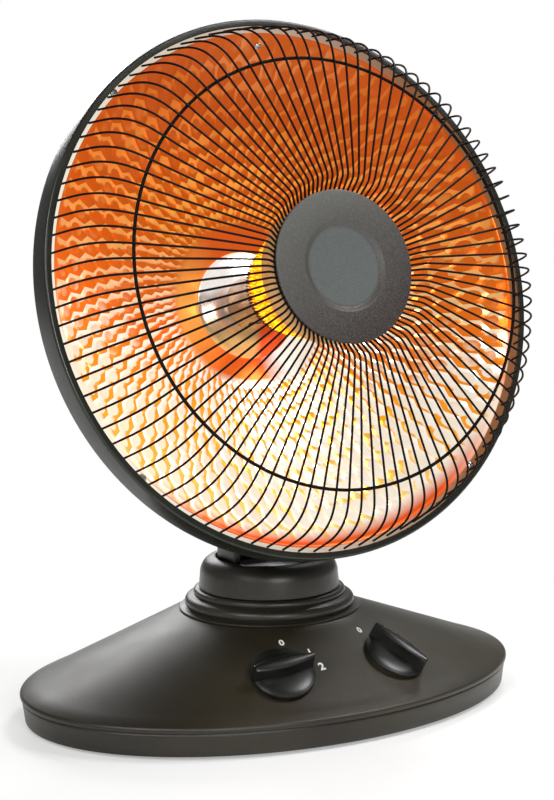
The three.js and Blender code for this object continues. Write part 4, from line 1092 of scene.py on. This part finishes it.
def base_cover():
    """The oval moulding: side wall, groove, rolled ridge, straight slope and neck seat."""
    w, d = BASE_HALF_WIDTH, BASE_HALF_DEPTH

    def inset(amount, z):
        return (w - amount, d - amount, z)

    bend = oval(0, RIDGE_HEIGHT - 0.6, RIDGE_ROUND, RIDGE_ROUND, range(-60, 58, 13))
    ridge = [inset(RIDGE_ROUND - x, z) for x, z in bend]
    slope = [tuple(slope_section(i / 12)) for i in range(1, 12)]
    seat = [
        (NECK_RADIUS + 0.9, NECK_RADIUS + 0.9, NECK_HEIGHT - 0.4),
        (NECK_RADIUS, NECK_RADIUS, NECK_HEIGHT),
        (12.3, 12.3, NECK_HEIGHT),
        (12.3, 12.3, NECK_HEIGHT - COVER_WALL),
        (NECK_RADIUS - COVER_WALL, NECK_RADIUS - COVER_WALL, NECK_HEIGHT - COVER_WALL),
    ]
    levels = [
        inset(3.6, 2.6), inset(3.3, 3.0), inset(2.6, 8.0), inset(1.9, 13.0), inset(1.3, 16.4),
        inset(1.6, 17.4), inset(2.0, 17.9), inset(2.1, 18.3),
        *ridge,
        *slope,
        *seat,
        inset(5.6, 19.4), inset(4.2, 16.0), inset(6.0, 2.6),
    ]
    bm = bmesh.new()
    sides = 224
    rings = []
    for a, b, z in levels:
        rings.append([
            bm.verts.new((a * math.cos(angle), b * math.sin(angle), z))
            for angle in (2 * math.pi * i / sides for i in range(sides))
        ])
    join_rings(bm, rings, closed=True, looped=True)
    for side in (-1, 1):
        knob_seat = bmesh.new()
        lathe(knob_seat, [(3.4, -2), (20.5, -2), (20.5, 0.1), (20.2, 0.4), (3.4, 0.4)], 64)
        knob_seat.transform(knob_axes(side))
        absorb(bm, knob_seat)
    finish_mesh(bm, "moulded_base_cover", base_moulding, ["base_cover"], "base", upright)


def knob(name, node, side, grip_turn):
    """A domed skirt with a tall blade across it. The blade narrows where it points."""
    bm = bmesh.new()
    r = KNOB_RADIUS
    skirt = [
        (0, 0.7), (r - 0.8, 0.7), (r, 1.4), (r, 2.9), (r - 0.25, 3.6),
        *oval(-0.6, 3.3, r, KNOB_SKIRT - 3.3, range(12, 90, 9)),
        (0, KNOB_SKIRT),
    ]
    lathe(bm, skirt, 96)
    blade(bm)
    lathe(bm, [(0, -17), (3, -17), (3, 1.2), (0, 1.2)], 32)
    turn = Matrix.Rotation(grip_turn, 4, "Z")
    bm.transform(knob_axes(side) @ turn)
    finish_mesh(bm, name, trim, [node], node, upright, sharp=math.radians(28))


def blade(bm):
    """The knob's grip: a leaf-shaped plan, waisted sides and a crowned top."""
    length = KNOB_RADIUS * 0.985
    steps = 18
    levels = (
        (1.2, 1.0), (5.0, 1.0), (8.0, 0.93), (11.5, 0.9), (14.2, 0.96), (14.5, 0.93),
        (15.1, 0.72), (15.6, 0.46), (KNOB_HEIGHT, 0.12),
    )
    rings = []
    for z, share in levels:
        drop = 0.0 if z < 12 else (z - 12) / 4
        ring = []
        for side in (1, -1):
            for i in range(steps + 1):
                x = length * math.cos(math.pi * i / steps) * side
                lean = x / length
                width = (2.4 + 3.0 * (1 - lean ** 2)) * (1 - 0.12 * lean)
                y = side * width * share
                if i in (0, steps):
                    y *= 0.86
                crown = 0.9 * drop * lean ** 2
                ring.append(bm.verts.new((x * (1 - 0.012 * drop), y, z - crown)))
        rings.append(ring)
    stack(bm, rings)


def printed_mark(name, side, digit, degrees, distance, height):
    """A digit laid on the slope by a knob."""
    centre = knob_axes(side) @ polar(distance, 0, math.radians(degrees))
    curve = bpy.data.curves.new(name, "FONT")
    curve.body = digit
    curve.size = height * 1.4
    curve.align_x = "CENTER"
    curve.align_y = "CENTER"
    curve.offset = height * 0.045
    curve.resolution_u = 4
    holder = show(name, curve)
    bpy.context.view_layer.update()
    flat = bpy.data.meshes.new_from_object(holder)
    bm = bmesh.new()
    bm.from_mesh(flat)
    bpy.data.objects.remove(holder)
    bpy.data.meshes.remove(flat)
    bpy.data.curves.remove(curve)
    bmesh.ops.solidify(bm, geom=bm.faces[:], thickness=PRINT_THICKNESS)
    for v in bm.verts:
        lift = v.co.z
        spot = slope_at(centre.x + v.co.x, centre.y + v.co.y * 0.86)
        v.co = spot + slope_normal(spot.x, spot.y) * (PRINT_LIFT + lift)
    finish_mesh(bm, name, print_ink, (), "base", upright, sharp=math.radians(60))


def knobs():
    knob("turned_heat_knob", "heat_knob", -1, HEAT_GRIP_TURN)
    knob("turned_swing_knob", "swing_knob", 1, SWING_GRIP_TURN)
    for word, side, marks in (("heat", -1, HEAT_MARKS), ("swing", 1, SWING_MARKS)):
        for mark in marks:
            printed_mark(f"{word}_mark_{mark[0]}", side, *mark)


def base_trim():
    """Feet, the tip plunger's button and the cord's inlet."""
    step = [(3, FOOT_REACH, 0.2)]
    foot = rounded([(0, 0, 0), (9, 0, 1.2), (8.4, FOOT_REACH, 0.6), *step, (3, 8.2, 0.4), (0, 8.2, 0)], 0.5)
    x, y = FOOT_PLACE
    for i, place in enumerate(((-x, -y), (x, -y), (x, y), (-x, y))):
        axes = Matrix.Translation((place[0] * MM, place[1] * MM, 0))
        turned(f"foot_pad_{i + 1}", foot, rubber, [f"foot_{i + 1}"], "base", axes, sides=40)
    button = rounded([(0, 0, 0), (5, 0, 0.8), (5, FOOT_REACH, 0.5), *step, (3, 22, 1), (0, 22, 0)], 0.5)
    axes = Matrix.Translation((PLUNGER_PLACE * MM, 0, 0))
    turned("tip_button", button, rubber, ["tip_plunger"], "tip_plunger", axes, sides=32)
    gland = rounded([(3, 120.1), (5, 120.1), (5, 131.1), (7, 131.1), (6.5, 131.8), (3, 131.8)], 0.3)
    axes = Matrix.Translation((0, 0, GLAND_HEIGHT * MM)) @ Matrix.Rotation(-math.pi / 2, 4, "X")
    turned("cord_inlet", gland, trim, ["cord_gland"], "base", axes, sides=48)


# ---- neck

def neck():
    bottom = NECK_HEIGHT + 0.3
    collar = [
        (45.5, bottom), (64.6, bottom), (64.8, bottom + 0.5), (64.2, bottom + 1.2),
        (61.0, bottom + 1.5), (59.3, bottom + 1.9),
        *arc(56.3, 72.0, 4.3, -48, 78, 9),
        (56.2, 76.5),
        *arc(51.6, 78.9, 2.6, -40, 88, 7),
        (50.9, 81.5), (45.5, 81.5),
    ]
    turned("ringed_neck_collar", collar, moulding, ["neck_collar"], "base", upright, sides=144)
    cap = [
        (30.3, 81.8), (49.7, 81.8), (50.1, 82.3), (50.0, 86.0), (49.6, 89.0),
        *oval(38.6, 91.5, 10.8, 12.3, range(6, 91, 7)),
        (38.0, 103.6), (37.8, 102.8), (38.2, 101.6),
        (41, 101.6), (44.6, 97), (46.6, 90), (47.4, 84.2), (30.3, 84.2),
    ]
    turned("domed_swivel_cap", cap, moulding, ["swivel_cap"], "swivel", upright, sides=144)


def fluted_outline(radius, depth, lobes):
    points = []
    count = lobes * 6
    for i in range(count):
        angle = 2 * math.pi * i / count
        r = radius - depth * abs(math.cos(angle * lobes / 2))
        points.append((r * math.cos(angle), r * math.sin(angle)))
    return points


def yoke():
    """A turned post, a fluted knuckle, a low back wall and two ears for the hinge bolt."""
    bm = bmesh.new()
    lathe(bm, [(8, 73.4), (42.7, 73.4), (43, 74), (43, 77), (34, 77), (34, 81.5), (30, 81.5),
               (30, 94), (8, 94)], 72)
    prism(bm, fluted_outline(36.5, 2.8, 12), 88, 99, bevel=1.6)
    back_wall = rounded([(-30.6, 14.5), (30.6, 14.5), (30.6, 18), (-30.6, 18)], 1)
    prism(bm, back_wall, 98, 110.5, bevel=1)
    for side in (-1, 1):
        ear = bmesh.new()
        outline = [(-EAR_RADIUS, 96), (EAR_RADIUS, 96), *arc(0, HINGE_HEIGHT, EAR_RADIUS, 0, 180, 24)]
        prism(ear, outline, 0, 5, bevel=0.9)
        turn = Matrix(((0, 0, side), (side, 0, 0), (0, 1, 0))).to_4x4()
        ear.transform(Matrix.Translation((side * EAR_PLACE, 0, 0)) @ turn)
        absorb(bm, ear)
    finish_mesh(bm, "cast_yoke", paint, ["yoke"], "swivel", upright)


def hinge_caps():
    for side, node in ((-1, "hinge_cap_left"), (1, "hinge_cap_right")):
        bm = bmesh.new()
        prism(bm, fluted_outline(12, 1.2, 8), 0, 7.5, bevel=1.4)
        turn = Matrix.Rotation(side * math.pi / 2, 4, "Y")
        place = Matrix.Translation((side * HINGE_CAP_PLACE, 0, HINGE_HEIGHT))
        bm.transform(place @ turn)
        finish_mesh(bm, f"fluted_{node}", trim, [node], "swivel", upright)


# ---- plain pieces that only take a finish

FINISHED = (
    (paint, ("base_plate", "tilt_arm")),
    (iron, ("ballast",)),
    (zinc, ("base_screw_1", "base_screw_2", "base_screw_3", "base_screw_4", "hub_screw")),
    (zinc, ("swing_motor", "motor_screw_1", "motor_screw_2")),
    (switch_case, ("tip_switch", "heat_switch", "swing_switch")),
    (nylon, ("bearing_ring",)),
    (steel, ("spindle", "retaining_nut", "hinge_bolt", "crank", "swing_lever")),
)
BEVELLED = {"tilt_arm": 1.4, "swing_motor": 1.0, "base_plate": 0.5, "hinge_bolt": 0.4}


def finish_plain_pieces():
    for material, names in FINISHED:
        for name in names:
            materials = frame["nodes"][name].data.materials
            materials.clear()
            materials.append(material)
    for name, width in BEVELLED.items():
        bevel = frame["nodes"][name].modifiers.new("bevel", "BEVEL")
        bevel.width = width * MM
        bevel.segments = 3
        bevel.limit_method = "ANGLE"


# ---- stage

# The camera's frame is 554 x 800 pixels, and its lens is given in such pixels
IMAGE_HEIGHT = 800
FOCAL_PIXELS = 1911.4
OFF_CENTRE_PIXELS = (11.75, -71.63)
SENSOR = 36.0
CAMERA_AZIMUTH = -0.5228
CAMERA_ELEVATION = 0.097
CAMERA_ROLL = -0.015
CAMERA_DISTANCE = 1.35136
AIM = Vector((0, 0, 0.266))
LAMP_AIM = Vector((0, 0, 0.2))
STUDIO_LIGHT = 0.2
FLOOR_RADIUS = 30.0
FLOOR_SHADOW_RADIUS = (0.2, 0.42)
FLOOR_NEAR_WHITE = 0.35


def camera():
    data = bpy.data.cameras.new("camera")
    data.sensor_width = SENSOR
    data.lens = FOCAL_PIXELS * SENSOR / IMAGE_HEIGHT
    data.shift_x = OFF_CENTRE_PIXELS[0] / IMAGE_HEIGHT
    data.shift_y = OFF_CENTRE_PIXELS[1] / IMAGE_HEIGHT
    data.clip_start = 0.05
    data.clip_end = 60
    back = Vector((
        math.sin(CAMERA_AZIMUTH) * math.cos(CAMERA_ELEVATION),
        -math.cos(CAMERA_AZIMUTH) * math.cos(CAMERA_ELEVATION),
        math.sin(CAMERA_ELEVATION),
    ))
    level = Vector((math.cos(CAMERA_AZIMUTH), math.sin(CAMERA_AZIMUTH), 0))
    above = back.cross(level)
    c, s = math.cos(CAMERA_ROLL), math.sin(CAMERA_ROLL)
    right = level * c + above * s
    up = above * c - level * s
    view = Matrix((right, up, back)).transposed().to_4x4()
    shot = show("camera", data)
    shot.matrix_world = Matrix.Translation(AIM + back * CAMERA_DISTANCE) @ view
    bpy.context.scene.camera = shot


def lamp(name, place, size, power):
    data = bpy.data.lights.new(name, "AREA")
    data.shape = "RECTANGLE"
    data.size, data.size_y = size
    data.energy = power
    light = show(name, data)
    light.location = place
    light.rotation_euler = (LAMP_AIM - Vector(place)).to_track_quat("-Z", "Y").to_euler()


def lights():
    lamp("key", (-1.7, -0.9, 1.5), (0.8, 1.0), 26)
    lamp("front", (-0.5, -2.0, 0.9), (0.5, 0.4), 16)
    lamp("crown", (0.9, -0.7, 1.6), (0.6, 0.6), 16)
    lamp("over", (0.95, 0.6, 1.6), (0.5, 0.5), 14)
    lamp("back", (0.55, 1.9, 0.95), (1.0, 0.7), 15)


def world():
    """White where the camera sees it, and a dim even light on the heater."""
    made = bpy.data.worlds.new("studio")
    bpy.context.scene.world = made
    made.use_nodes = True
    tree = made.node_tree
    tree.nodes.clear()
    soft, shown = [
        add_node(tree, "ShaderNodeBackground", {"Color": (1, 1, 1, 1), "Strength": strength})
        for strength in (STUDIO_LIGHT, 1.0)
    ]
    blend = add_node(tree, "ShaderNodeMixShader", {
        "Fac": add_node(tree, "ShaderNodeLightPath").outputs["Is Camera Ray"],
        1: soft.outputs["Background"],
        2: shown.outputs["Background"],
    })
    add_node(tree, "ShaderNodeOutputWorld", {"Surface": blend.outputs["Shader"]})


def floor_finish():
    """White floor: it keeps the shadow near the heater and fades to plain white further off."""
    n = Nodes("floor_finish")
    n.set("Base Color", n.ramp(n.noise(3, 3.0), *varied((244, 244, 242), (250, 250, 249))))
    n.set("Roughness", 0.9)
    n.set("Specular IOR Level", 0.1)
    place = n.add("ShaderNodeVectorMath", {0: n.coords}, operation="LENGTH")
    far = n.range(place.outputs["Value"], *FLOOR_SHADOW_RADIUS, FLOOR_NEAR_WHITE, 1.0)
    seen = n.add("ShaderNodeLightPath").outputs["Is Camera Ray"]
    blend = n.add("ShaderNodeMixShader", {
        "Fac": n.times(far, seen),
        1: n.shader.outputs["BSDF"],
        2: n.add("ShaderNodeEmission", {"Strength": 1.0}).outputs["Emission"],
    })
    fill(n.tree, n.tree.nodes["Material Output"], {"Surface": blend.outputs["Shader"]})
    return n.material


def floor():
    bm = bmesh.new()
    bmesh.ops.create_circle(bm, cap_ends=True, segments=96, radius=FLOOR_RADIUS)
    mesh = bpy.data.meshes.new("floor")
    bm.to_mesh(mesh)
    bm.free()
    mesh.materials.append(floor_finish())
    show("floor", mesh)


# ---- build

camera()
lights()
world()
floor()
bpy.context.scene.view_settings.view_transform = "Standard"

reflector()
rim_band()
dish_shell()
rear_cover()
wire_guard()
hub()
heating_coil()
element_core()
element_socket()
dish_screws()
band_plates()
base_cover()
knobs()
base_trim()
neck()
yoke()
hinge_caps()
finish_plain_pieces()

bpy.context.view_layer.update()
